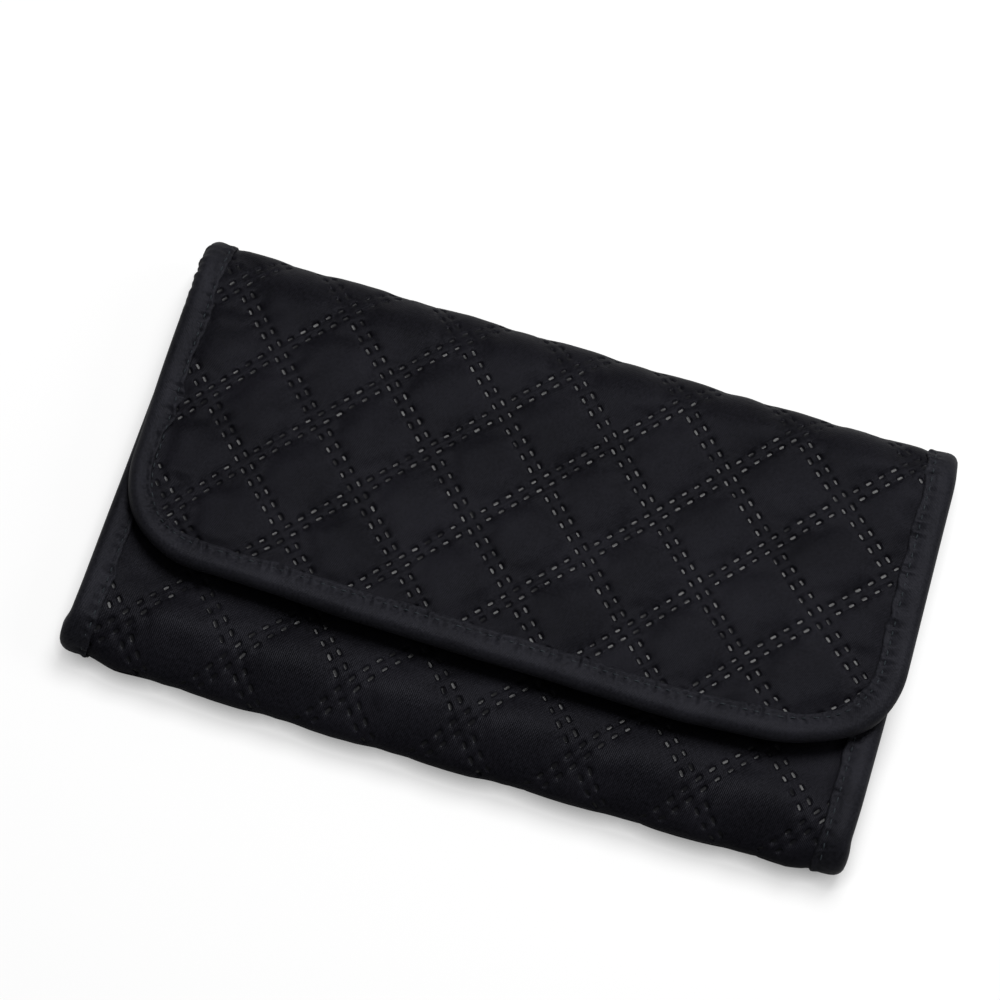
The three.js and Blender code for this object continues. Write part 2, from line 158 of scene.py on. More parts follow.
@dataclass
class RollShape:
    """The closed roll's outer face and the way the flat cloth folds into it, in millimetres.

    Each fold is two quarter ellipses, an upper and a lower one, that meet at the fold's tip.
    """

    width: float = 230.0
    depth: float = 128.0
    front_height: float = 17.3
    flap_height: float = 23.0
    front_edge_y: float = 54.0
    flap_edge_y: float = -39.0
    flap_corner: float = 32.0
    front_corner: float = 5.0
    near_ease: tuple[float, float] = (20.0, 9.0)
    far_ease: tuple[float, float] = (14.0, 10.0)
    step: float = 0.1

    # Fitted to the photo: rows of a place, in x or y, and a length there, in millimetres.
    FRONT_HOLLOW = (
        (-24, 0.0), (-30, -0.2), (-36, -0.4), (-39, -0.5), (-42, -0.5), (-45, -0.45),
        (-48, -0.4), (-51, -0.4), (-54, -0.5), (-57, -0.65), (-60, -0.6), (-65, -0.2),
    )
    FLAP_EDGE_RISE = (
        (-80, 2.0), (-60, 1.3), (-40, 0.1), (0, 0.0), (20, 0.5), (40, 0.5), (60, 0.0), (80, 1.0), (95, 2.0),
    )
    NEAR_BULGE = (
        (-115, 1.7), (-108, 3.1), (-98, 5.2), (-40, 5.6), (0, 5.4), (25, 4.8), (60, 4.6), (100, 3.9),
        (108, 2.2), (115, 0.8),
    )
    FAR_BULGE = ((-115, 2.7), (-112, 3.1), (-107, 3.4), (-100, 3.5), (0, 3.1), (30, 2.7), (115, 2.1))

    def __post_init__(self) -> None:
        """Lists the outer face's points and inward directions by place along the cloth."""
        half, low, high = self.depth / 2, self.front_height / 2, self.flap_height / 2
        upper, lower = self.near_ease
        under, over = self.far_ease[1], self.far_ease[0]
        turn = np.linspace(0, math.pi / 2, 400)
        legs = [
            np.array([[self.front_edge_y, 2 * low], [upper - half, 2 * low]]),
            np.column_stack([upper - half - upper * np.sin(turn), low + low * np.cos(turn)]),
            np.column_stack([lower - half - lower * np.cos(turn), low - low * np.sin(turn)]),
            np.array([[lower - half, 0.0], [half - under, 0.0]]),
            np.column_stack([half - under + under * np.sin(turn), high - high * np.cos(turn)]),
            np.column_stack([half - over + over * np.cos(turn), high + high * np.sin(turn)]),
            np.array([[half - over, 2 * high], [self.flap_edge_y, 2 * high]]),
        ]
        ends, points = [0.0], [legs[0][:1]]
        for leg in legs:
            points.append(leg[1:])
            ends.append(ends[-1] + float(np.hypot(*np.diff(leg, axis=0).T).sum()))
        line = np.vstack(points)
        along = lengths_along(line)
        self.near_start, self.near_middle, self.near_end = ends[1:4]
        self.far_start, self.far_middle, self.far_end, self.length = ends[4:8]
        self.line_s = np.arange(0.0, self.length, self.step)
        self.line_y = np.interp(self.line_s, along, line[:, 0])
        self.line_z = np.interp(self.line_s, along, line[:, 1])
        slope_y, slope_z = np.gradient(self.line_y), np.gradient(self.line_z)
        size = np.hypot(slope_y, slope_z)
        self.in_y, self.in_z = -slope_z / size, slope_y / size
        self.back_middle = self.back_s(0.0)

    def front_s(self, y: Place) -> Place:
        """Place along the cloth of a line on the front panel's flat part."""
        return self.front_edge_y - y

    def back_s(self, y: float) -> float:
        """Place along the cloth of a line on the back."""
        return self.near_end + y + self.depth / 2 - self.near_ease[1]

    def flap_s(self, y: Place) -> Place:
        """Place along the cloth of a line on the flap's flat part."""
        return self.far_end + self.depth / 2 - self.far_ease[0] - y

    def fold_share(self, s: Array) -> Array:
        """How near each place is to a fold's tip, from 0 on the flat to 1 at the tip."""
        near, far = self.near_middle, self.far_middle
        near_share = smoothstep(self.near_start, near, s) * smoothstep(self.near_end, near, s)
        return near_share + smoothstep(self.far_start, far, s) * smoothstep(self.far_end, far, s)

    def flap_share(self, s: Array) -> Array:
        """How far each place is past the far fold, from 0 before it to 1 on the flap."""
        return smoothstep(self.far_end - 14, self.far_end + 12, s)

    def waver(self, x: Array) -> Array:
        """How the roll's top wavers across the roll: sunk at the left and right of the middle."""
        sunk = -2.2 * bump(x, -104, 17) + -2.3 * bump(x, 42, 27)
        return sunk + 0.9 * bump(x, -38, 26) + 0.8 * bump(x, 92, 14)

    def sag(self, x: Array, s: Array) -> Array:
        """How far the filled roll's top stands up: it wavers, and its front is hollow between bound ends.

        Args:
            x: Places across the roll.
            s: Places along the cloth.

        Returns:
            Heights to add, in millimetres.
        """
        top = self.flap_share(s) + smoothstep(self.front_s(-30), self.front_s(-8), s)
        padded = smoothstep(self.width / 2 - 2, self.width / 2 - 18, np.abs(x))
        hollow = padded * table(s, *((self.front_s(y), height) for y, height in self.FRONT_HOLLOW))
        bound_ends = 1.3 * (1 - padded) * bump(s, self.front_s(-58.0), 6.0)
        return 0.25 * self.waver(x) * top + (hollow + bound_ends) * (s < self.near_middle)

    def droop(self, x: Array, s: Array) -> Array:
        """How far the flap's wavering draws it along y, with its edge drawn up towards its corners."""
        lifted = table(x, *self.FLAP_EDGE_RISE) * smoothstep(self.flap_s(-22.0), self.flap_s(-37.0), s)
        return 0.31 * self.waver(x) * self.flap_share(s) + lifted

    def bulge(self, x: Array, s: Array) -> Array:
        """How far the stuffed folds push out between their bound ends, along y."""
        near, far = table(x, *self.NEAR_BULGE), table(x, *self.FAR_BULGE)
        return np.where(s < self.back_middle, -near, far) * self.fold_share(s)

    def spread(self, x: Array, s: Array) -> Array:
        """How far the flap's bound sides lie out of true, along x."""
        down = smoothstep(self.far_middle, self.length, s)
        drawn = 0.8 * bump(s, self.flap_s(-8.0), 20)
        right_side, left_side = smoothstep(70, 112, x), smoothstep(-80, -112, x)
        flap = (1.6 + 1.6 * down) * right_side + (0.7 + 1.1 * down + drawn) * left_side
        lump = bump(s, self.near_middle - 1.5, 6.5, 4)
        uneven = 0.5 * np.sin(1.7 * s) * np.sin(0.61 * s + 1.0) * smoothstep(-104, -113, x)
        uneven = uneven * bump(s, self.far_middle + 12.0, 12)
        ends = 0.7 * lump * smoothstep(100, 114, x) - 1.4 * lump * smoothstep(-100, -114, x)
        front = (0.5 * right_side + 0.4 * left_side) * smoothstep(self.near_middle, self.near_start, s)
        return flap * smoothstep(self.far_start, self.far_end, s) + front + ends + uneven

    def place(self, x: Array, s: Array, w: Array) -> Array:
        """Folds flat cloth into the closed roll.

        Args:
            x: Places across the roll.
            s: Places along the cloth.
            w: Depths inwards from the outer face.

        Returns:
            Points in metres, one row each, in the CAD frame.
        """
        x, s, w = np.broadcast_arrays(np.asarray(x, float), s, w)
        y = np.interp(s, self.line_s, self.line_y) + w * np.interp(s, self.line_s, self.in_y)
        z = np.interp(s, self.line_s, self.line_z) + w * np.interp(s, self.line_s, self.in_z)
        stuffed = 1 - smoothstep(1.0, 2.6, w)
        y, z = y + self.bulge(x, s) * stuffed + self.droop(x, s), z + self.sag(x, s)
        return np.column_stack([x + self.spread(x, s), y, z]) * MM


ROLL = RollShape()


@dataclass(frozen=True)
class QuiltPattern:
    """The diagonal lattice of double dashed lines, as it is pressed into the cloth.

    Rows of crossings are counted from the flap's middle, over the far fold, the back and the
    near fold to the front panel. Along the hidden back the rows lie a little closer.
    """

    pitch: float = 33.9
    flap_row: float = 18.2
    front_row: float = 17.75
    first_row_y: float = 18.05
    last_row_y: float = -54.4
    last_row: int = 12
    line_gap: float = 2.94
    near_mark: float = 2.2
    far_mark: float = 5.12
    marks: int = 5

    def row_s(self, row: Array) -> Array:
        """Place along the cloth of a row of crossings."""
        first, last = ROLL.flap_s(self.first_row_y), ROLL.front_s(self.last_row_y)
        return table(
            row,
            (-6.0, first + 6 * self.flap_row),
            (0.0, first),
            (2.6, first - 2.6 * self.flap_row),
            (10.8, last + 1.2 * self.front_row),
            (self.last_row, last),
            (self.last_row + 8.0, last - 8 * self.front_row),
        )

    def row_x(self, row: Array) -> Array:
        """Where a row's middle crossing lies across the roll."""
        return table(row, (-6, 8.1), (0, 2.7), (2, 0.9), (self.last_row, 1.3), (20, -1.6))

    def lean(self, row: Array) -> Array:
        """How much a row climbs towards the far fold from left to right."""
        return table(row, (0, 0.02), (2, 0.018), (self.last_row, 0.003))

    def crossing(self, column: float, row: float) -> tuple[float, float]:
        """Place of one crossing on the flat cloth."""
        across = (column + 0.5 * (row % 2)) * self.pitch
        x = float(self.row_x(row)) + across
        return x, float(self.row_s(row)) - float(self.lean(row)) * across

    def cell_place(self, x: Array, s: Array) -> tuple[Array, Array]:
        """Distances from the two nearest seam lines, one of each slant.

        Args:
            x: Places across the roll.
            s: Places along the cloth.

        Returns:
            Distances in millimetres from the nearest line that leans right and left.
        """
        rows = np.linspace(-6, 20, 521)
        ladder = self.row_s(rows)
        row = np.interp(-s, -ladder, rows)
        across = x - self.row_x(row)
        row = np.interp(-(s + self.lean(row) * across), -ladder, rows)
        across = (x - self.row_x(row)) / self.pitch
        spacing = self.pitch * 0.73
        right, left = across - row / 2, across + row / 2
        return np.abs(right - np.round(right)) * spacing, np.abs(left - np.round(left)) * spacing

    def pressed_marks(self, low: float, high: float) -> Array:
        """Every dash between two places along the cloth.

        Args:
            low: First place along the cloth.
            high: Last place along the cloth.

        Returns:
            One row for each dash: x, s, and the direction along it.
        """
        found = []
        for row in range(-5, 19):
            for column in range(-5, 5):
                x0, s0 = self.crossing(column, row)
                for side in (1, -1):
                    step = row + 1
                    over = column + (0.5 * (row % 2) + 0.5 * side) - 0.5 * (step % 2)
                    x1, s1 = self.crossing(over, step)
                    length = math.hypot(x1 - x0, s1 - s0)
                    ux, us = (x1 - x0) / length, (s1 - s0) / length
                    unbroken = (row % 2 == 0) == (side == 1)
                    start = self.near_mark if unbroken else self.far_mark
                    stop = self.far_mark if unbroken else self.near_mark
                    for along in np.linspace(start, length - stop, self.marks):
                        for off in (self.line_gap / 2, -self.line_gap / 2):
                            found.append((x0 + ux * along - us * off, s0 + us * along + ux * off, ux, us))
        marks = np.array(found)
        return marks[(marks[:, 1] > low) & (marks[:, 1] < high) & (np.abs(marks[:, 0]) < ROLL.width / 2)]


QUILT = QuiltPattern()


@dataclass(frozen=True)
class PressedMark:
    """One pressed dash: a small flat-floored pit with rounded ends, as rings from floor to rim."""

    rings: tuple[Point, ...] = ((0.80, 0.30, 0.42), (0.95, 0.44, 0.40), (1.20, 0.70, 0.14), (1.52, 1.02, 0.0))
    round_end: int = 5

    @property
    def reach(self) -> float:
        """Half the length of the pit's rim."""
        return self.rings[-1][0]

    def outline(self, ring: int) -> Array:
        """Points of one ring, along and across the dash."""
        half_length, half_width, _ = self.rings[ring]
        turns = np.linspace(-math.pi / 2, math.pi / 2, self.round_end)
        cap = np.column_stack([np.cos(turns), np.sin(turns)]) * half_width
        cap[:, 0] += half_length - half_width
        return np.vstack([cap, -cap])


MARK = PressedMark()


def beside_marks(points: Array, marks: Array) -> Iterator[tuple[Array, Array]]:
    """How far points lie along and across the dashes, some dashes at a time."""
    for some in np.array_split(marks, range(AT_ONCE, len(marks), AT_ONCE)):
        dx, ds = points[:, 0:1] - some[:, 0], points[:, 1:2] - some[:, 1]
        yield dx * some[:, 2] + ds * some[:, 3], ds * some[:, 2] - dx * some[:, 3]


@dataclass(frozen=True)
class Tuft:
    """The wadding's puff between seam lines."""

    crown: float = 1.35
    ease: float = 10.5

    def height(self, x: Array, s: Array) -> Array:
        """How far the outer face stands above the seam plane."""
        lean_right, lean_left = QUILT.cell_place(x, s)
        puff = np.ones_like(x)
        for away in (lean_right, lean_left):
            t = np.clip((away - 0.9) / self.ease, 0.0, 1.0)
            puff = puff * (1 - (1 - t) ** 2.6)
        return self.crown * puff


TUFT = Tuft()


@dataclass
class BlownCloth:
    """One panel's puffs and creases, from a flat sheet held at its dashes and blown out.

    The solver works on a sheet ten times the real size, where its own lengths suit it.
    """

    low: float
    high: float
    ends_on_at_low: bool
    from_edge: Callable[[Array, Array], Array]
    step: float = 1.6
    enlarged: float = 10.0
    pressure: float = 3.0
    fullness: float = 0.05
    frames: int = 20
    grip: float = 0.9
    half_dash: float = 0.6
    bound: float = 8.0
    crown: float = 1.3
    relief: Array = field(init=False)

    def __post_init__(self) -> None:
        """Runs the simulation once and keeps its heights."""
        sheet = self.sheet()
        self.hold(sheet)
        self.blow(sheet)
        points = np.array([v.co for v in sheet.data.vertices])
        self.relief = (points[:, 2] / self.enlarged / MM).reshape(self.rows + 1, self.columns + 1)
        bpy.data.objects.remove(sheet, do_unlink=True)
        log.info("blown cloth: %d points, swells %.2f mm", len(points), float(self.relief.max()))

    def sheet(self) -> Piece:
        """The flat grid, with x across the roll and y along the cloth."""
        self.columns = round(ROLL.width / self.step)
        self.rows = round((self.high - self.low) / self.step)
        deselect()
        bpy.ops.mesh.primitive_grid_add(x_subdivisions=self.columns, y_subdivisions=self.rows, size=1.0)
        made = bpy.context.object
        made.scale = (ROLL.width * self.enlarged * MM, (self.high - self.low) * self.enlarged * MM, 1.0)
        bpy.ops.object.transform_apply(location=False, rotation=False, scale=True)
        return made

    def hold(self, sheet: Piece) -> None:
        """Pins the sheet at its dashes, under its binding and where the cloth carries on."""
        across = np.linspace(-ROLL.width / 2, ROLL.width / 2, self.columns + 1)
        along = np.linspace(self.low, self.high, self.rows + 1)
        s, x = (grid.ravel() for grid in np.meshgrid(along, across, indexing="ij"))
        held = (self.from_edge(x, s) < self.bound) | (s < self.low + 0.1) | (s > self.high - 0.1)
        marks = QUILT.pressed_marks(self.low, self.high)
        for forward, sideways in beside_marks(np.column_stack([x, s]), marks):
            held |= (np.hypot(np.maximum(np.abs(forward) - self.half_dash, 0), sideways) < self.grip).any(1)
        group = sheet.vertex_groups.new(name="held")
        group.add([int(i) for i in np.nonzero(held)[0]], 1.0, "REPLACE")

    def blow(self, sheet: Piece) -> None:
        """Runs the cloth under even pressure and keeps the shape that it takes."""
        modifier = sheet.modifiers.new("cloth", "CLOTH")
        cloth = modifier.settings
        cloth.quality = 6
        cloth.mass = 0.3
        cloth.tension_stiffness = cloth.compression_stiffness = 15.0
        cloth.shear_stiffness = 5.0
        cloth.bending_stiffness = 1.5
        cloth.vertex_group_mass = "held"
        cloth.use_pressure = True
        cloth.uniform_pressure_force = self.pressure
        cloth.shrink_min = -self.fullness
        cloth.effector_weights.gravity = 0.0
        modifier.collision_settings.use_collision = False
        modifier.point_cache.frame_start = 1
        modifier.point_cache.frame_end = self.frames
        for frame in range(1, self.frames + 1):
            bpy.context.scene.frame_set(frame)
        bpy.context.view_layer.objects.active = sheet
        bpy.ops.object.modifier_apply(modifier=modifier.name)
        bpy.context.scene.frame_set(1)

    def height(self, x: Array, s: Array) -> Array:
        """Samples the puffs, which become plain tufts near the end where the cloth carries on."""
        column = np.clip((x + ROLL.width / 2) / ROLL.width * self.columns, 0, self.columns - 1e-6)
        row = np.clip((s - self.low) / (self.high - self.low) * self.rows, 0, self.rows - 1e-6)
        i, j = row.astype(int), column.astype(int)
        a, b = row - i, column - j
        relief = self.relief
        near = relief[i, j] * (1 - b) + relief[i, j + 1] * b
        far = relief[i + 1, j] * (1 - b) + relief[i + 1, j + 1] * b
        raised = near * (1 - a) + far * a
        blown = self.crown * np.tanh(raised / (1.6 * self.crown))
        away = s - self.low if self.ends_on_at_low else self.high - s
        share = smoothstep(2.0, 12.0, away)
        return blown * share + TUFT.height(x, s) * (1 - share)


def deselect() -> None:
    """Leaves edit mode and selects nothing."""
    if bpy.context.object and bpy.context.object.mode != "OBJECT":
        bpy.ops.object.mode_set(mode="OBJECT")
    bpy.ops.object.select_all(action="DESELECT")


def activate(piece: Piece) -> None:
    """Selects one piece alone and makes it active."""
    deselect()
    piece.select_set(True)
    bpy.context.view_layer.objects.active = piece


def mesh_object(name: str, points: Array, faces: Iterable[Face]) -> Piece:
    """Makes an object from points and faces.

    Args:
        name: The object's name.
        points: Points in metres, one row each.
        faces: Point numbers of each face, counter-clockwise seen from outside.

    Returns:
        The new object, linked to the scene.
    """
    mesh = bpy.data.meshes.new(name)
    mesh.from_pydata(points.tolist(), [], [list(f) for f in faces])
    mesh.update()
    made = bpy.data.objects.new(name, mesh)
    bpy.context.collection.objects.link(made)
    return made


def lay_uv(piece: Piece, across: Array, along: Array) -> None:
    """Gives a piece its flat cloth layout as its UV map, from each point's place in millimetres."""
    layer = piece.data.uv_layers.new(name="cloth")
    corner = np.zeros(len(piece.data.loops), np.int64)
    piece.data.loops.foreach_get("vertex_index", corner)
    flat = np.column_stack([across, along])[corner] * MM
    layer.data.foreach_set("uv", flat.ravel())


def points_of(piece: Piece) -> Array:
    """A piece's points, in millimetres."""
    return np.array([v.co for v in piece.data.vertices]) / MM


def move_points(piece: Piece, points: Array) -> None:
    """Moves a piece's points to places in millimetres."""
    piece.data.vertices.foreach_set("co", (points * MM).ravel())
    piece.data.update()


def smooth(piece: Piece) -> None:
    """Shades every face of a piece smooth."""
    piece.data.polygons.foreach_set("use_smooth", np.ones(len(piece.data.polygons), bool))
    piece.data.update()


def triangulated(flat: Array) -> list[Face]:
    """Delaunay triangles over flat points, as point numbers counter-clockwise."""
    made = delaunay_2d_cdt([Vector(p) for p in flat], [], [], 0, 1e-7)
    back = [origin[0] for origin in made[3]]
    return [tuple(back[i] for i in face) for face in made[2]]


def tube_faces(count: int, around: int) -> list[Face]:
    """Faces between the rings of a tube, whose points are counted ring by ring."""
    return [
        (a + j, a + (j + 1) % around, a + around + (j + 1) % around, a + around + j)
        for a in range(0, (count - 1) * around, around)
        for j in range(around)
    ]


def repeated(one: list[Face], size: int, count: int) -> list[Face]:
    """The faces of many copies of a part that has a number of points."""
    return [tuple(size * n + i for i in face) for n in range(count) for face in one]


def shell_faces(outer: list[Face], inner: list[Face], rim: list[int], start: int) -> list[Face]:
    """Faces of a closed shell.

    Args:
        outer: Faces of the outer side.
        inner: Faces of the inner side, counted from its own first point.
        rim: The rim's points, in order, with the same numbers on both sides.
        start: The number of the inner side's first point.

    Returns:
        The outer side's faces turned over, the inner side's, and those between the rims.
    """
    side = [(a, b, start + b, start + a) for a, b in zip(rim, rim[1:] + rim[:1])]
    return [f[::-1] for f in outer] + [tuple(start + i for i in f) for f in inner] + side


def open_for_edit(piece: Piece) -> None:
    """Makes one piece active and opens it in edit mode with all of it selected."""
    activate(piece)
    bpy.ops.object.mode_set(mode="EDIT")
    bpy.ops.mesh.select_all(action="SELECT")


def face_out(piece: Piece) -> None:
    """Turns a closed piece's faces outwards."""
    open_for_edit(piece)
    bpy.ops.mesh.normals_make_consistent(inside=False)
    deselect()


def choose(piece: Piece, kind: str, wanted: Callable[[object], bool]) -> None:
    """Selects some vertices or faces of a piece that is open in edit mode.

    Args:
        piece: The piece.
        kind: VERT or FACE.
        wanted: Says for each one whether to select it.
    """
    bpy.ops.mesh.select_all(action="DESELECT")
    bpy.ops.object.mode_set(mode="OBJECT")
    for part in piece.data.polygons if kind == "FACE" else piece.data.vertices:
        part.select = wanted(part)
    bpy.ops.object.mode_set(mode="EDIT")
    bpy.ops.mesh.select_mode(type=kind)


def round_upright(piece: Piece, radius: float, segments: int, wanted: Callable[..., bool]) -> None:
    """Opens a piece in edit mode and rounds some of its upright edges.

    Args:
        piece: The piece.
        radius: Size of the rounding, in millimetres.
        segments: How many faces it gets.
        wanted: Says for an upright edge's two ends whether to round it.
    """
    open_for_edit(piece)
    bpy.ops.mesh.select_all(action="DESELECT")
    bpy.ops.mesh.select_mode(type="EDGE")
    bpy.ops.object.mode_set(mode="OBJECT")
    for edge in piece.data.edges:
        a, b = (piece.data.vertices[i].co for i in edge.vertices)
        edge.select = (a.xy - b.xy).length < TINY and wanted(a, b)
    bpy.ops.object.mode_set(mode="EDIT")
    bpy.ops.mesh.bevel(offset=radius * MM, segments=segments)


def cut_across(places: Iterable[float], normal: Point = (1, 0, 0)) -> None:
    """Cuts the piece that is open in edit mode at places along an axis, in its own units."""
    for place in places:
        bpy.ops.mesh.select_all(action="SELECT")
        bpy.ops.mesh.bisect(plane_co=[place * n for n in normal], plane_no=normal)


def settled(name: str) -> Piece:
    """Names the primitive just added and moves its size and place into its mesh."""
    made = bpy.context.object
    made.name = made.data.name = name
    bpy.ops.object.transform_apply(location=True, rotation=True, scale=True)
    return made


def block(name: str, low: Point, high: Point) -> Piece:
    """Adds a cube stretched between its lowest and highest corners, in millimetres."""
    deselect()
    middle = [(a + b) / 2 * MM for a, b in zip(low, high)]
    size = [(b - a) * MM for a, b in zip(low, high)]
    bpy.ops.mesh.primitive_cube_add(size=1.0, location=middle, scale=size)
    return settled(name)


def barrel(name: str, level: float, radius: float, height: float, sides: int = 24) -> Piece:
    """Adds an upright cylinder round the z axis, with its middle at a level, in millimetres."""
    deselect()
    place = (0.0, 0.0, level * MM)
    bpy.ops.mesh.primitive_cylinder_add(vertices=sides, radius=radius * MM, depth=height * MM, location=place)
    return settled(name)


def apply_modifier(piece: Piece, kind: str, **settings: object) -> None:
    """Adds one modifier with its settings and applies it."""
    activate(piece)
    added = piece.modifiers.new(kind.lower(), kind)
    for key, value in settings.items():
        setattr(added, key, value)
    bpy.ops.object.modifier_apply(modifier=added.name)


def soften(piece: Piece, width: float, segments: int = 3) -> None:
    """Rounds a piece's sharp edges, by a width in millimetres."""
    limit = {"limit_method": "ANGLE", "angle_limit": math.radians(40)}
    apply_modifier(piece, "BEVEL", width=width * MM, segments=segments, **limit)


def finish_shading(piece: Piece) -> None:
    """Shades a piece smooth except across its sharp edges."""
    activate(piece)
    bpy.ops.object.shade_smooth_by_angle(angle=math.radians(35.0))


def merged(name: str, parts: list[Piece]) -> Piece:
    """Joins parts into one piece."""
    deselect()
    for part in parts:
        part.select_set(True)
    bpy.context.view_layer.objects.active = parts[0]
    bpy.ops.object.join()
    parts[0].name = parts[0].data.name = name
    return parts[0]


def swept(name: str, run: Array, rings: tuple[Array, Array], place: Placer) -> Piece:
    """Sweeps a closed profile along a run.

    Args:
        name: The piece's name.
        run: Rows of x, y and the sideways direction.
        rings: Sideways distances and levels, one row for each row of the run.
        place: Turns x, y and level into points.

    Returns:
        The piece, shaded smooth, with its UV map along and across it.
    """
    u, w = rings
    count, around = u.shape
    x, y = run[:, 0:1] + u * run[:, 2:3], run[:, 1:2] + u * run[:, 3:4]
    points = place(x.ravel(), y.ravel(), w.ravel())
    last = (count - 1) * around
    ends = [tuple(range(around))[::-1], tuple(range(last, last + around))]
    made = mesh_object(name, points, tube_faces(count, around) + ends)
    across = lengths_along(np.column_stack([u[0], w[0]]))
    lay_uv(made, np.tile(across, count) + 20, np.repeat(lengths_along(run[:, :2]), around))
    smooth(made)
    face_out(made)
    return made


@dataclass(frozen=True)
class StitchRow:
    """A row of short rounded threads along a run."""

    inward: float
    level: float
    long: float = 2.2
    gap: float = 1.0
    girth: float = 0.2
    rise: float = 0.1

    def build(self, name: str, run: Array, place: Placer) -> Piece:
        """Makes the row.

        Args:
            name: The row's name.
            run: Rows of x, y and the sideways direction.
            place: Turns x, y and level into points.

        Returns:
            All the stitches as one piece.
        """
        line = run[:, :2] + run[:, 2:] * self.inward
        along = lengths_along(line)
        pitch = self.long + self.gap
        starts = np.arange(pitch * 0.6, along[-1] - pitch, pitch)
        turns = np.linspace(0, 2 * math.pi, 6, endpoint=False)
        stations = np.array([-0.5, -0.36, 0.0, 0.36, 0.5])
        thick = np.array([0.25, 0.85, 1.0, 0.85, 0.25])[:, None] * self.girth
        at = (starts[:, None] + (stations + 0.5) * self.long)[..., None] + np.zeros(6)
        side = thick * np.cos(turns)
        up = self.level - self.rise * np.cos(stations * math.pi)[:, None] + thick * 0.7 * np.sin(turns)
        cx, cy = np.interp(at, along, line[:, 0]), np.interp(at, along, line[:, 1])
        nx, ny = np.interp(at, along, run[:, 2]), np.interp(at, along, run[:, 3])
        x, y = (cx + side * nx).ravel(), (cy + side * ny).ravel()
        w = np.broadcast_to(up, cx.shape).ravel()
        one = tube_faces(5, 6) + [tuple(range(6))[::-1], tuple(range(24, 30))]
        made = mesh_object(name, place(x, y, w), repeated(one, 30, len(starts)))
        lay_uv(made, x + 200, y + 300)
        smooth(made)
        face_out(made)
        WARDROBE.dress(made, THREAD)
        return made


@dataclass(frozen=True)
class Outline:
    """A panel's outline on the flat cloth: straight sides, one end that may have round corners."""

    half_width: float
    low: float
    high: float
    corner: float = 0.0
    corners_at_high: bool = True

    def inset(self, x: Array, s: Array) -> Array:
        """How far inside the outline each place is."""
        if not self.corners_at_high:
            s = self.low + self.high - s
        side = self.half_width - np.abs(x)
        straight = np.minimum(np.minimum(side, self.high - s), s - self.low)
        cx, cs = self.half_width - self.corner, self.high - self.corner
        past = (np.abs(x) > cx) & (s > cs)
        curved = self.corner - np.hypot(np.abs(x) - cx, s - cs)
        return np.where(past, np.minimum(curved, s - self.low), straight)

    def around(self, x: Array, s: Array) -> Array:
        """Distance along the nearest bound edge, counted alike from both of its ends."""
        if not self.corners_at_high:
            s = self.low + self.high - s
        turn_from = self.high - self.corner
        over, past = np.abs(x) - (self.half_width - self.corner), s - turn_from
        angle = np.arctan2(np.maximum(past, 0), np.maximum(over, 0.01))
        sides = turn_from + angle * self.corner + np.maximum(-over, 0) * (past > np.abs(over))
        right_apart = 400.0
        return np.where(past > 0, sides, s) + right_apart * (x > 0)

    def rim(self, step: float) -> Array:
        """Points round the outline, about a step apart."""
        a, r = self.half_width, self.corner
        count = max(2, round(r * math.pi / 2 / step) + 1) if r else 1
        turns = np.linspace(0, math.pi / 2, count)
        right = np.column_stack([a - r + r * np.cos(turns), self.high - r + r * np.sin(turns)])
        left = right[::-1] * [-1, 1]
        loop = np.vstack([np.array([[-a, self.low], [a, self.low]]), right, left])
        sides = []
        for start, end in zip(loop, np.roll(loop, -1, 0)):
            count = max(1, round(float(np.linalg.norm(end - start)) / step))
            sides.append(start + (end - start) * np.linspace(0, 1, count, endpoint=False)[:, None])
        points = np.vstack(sides)
        if not self.corners_at_high:
            points[:, 1] = self.low + self.high - points[:, 1]
            points = points[::-1]
        return points


def honeycomb(outline: Outline, step: float, margin: float) -> Array:
    """Evenly staggered points inside an outline.

    Args:
        outline: The outline to fill.
        step: Distance between points.
        margin: How far they keep from the outline.

    Returns:
        The points, one row each.
    """
    row_share = 0.866
    rows = np.arange(outline.low, outline.high, step * row_share)
    columns = np.arange(-outline.half_width, outline.half_width, step)
    s, x = np.meshgrid(rows, columns, indexing="ij")
    x = x + (np.arange(len(rows)) % 2)[:, None] * step / 2
    inside = outline.inset(x, s) > margin
    return np.column_stack([x[inside], s[inside]])


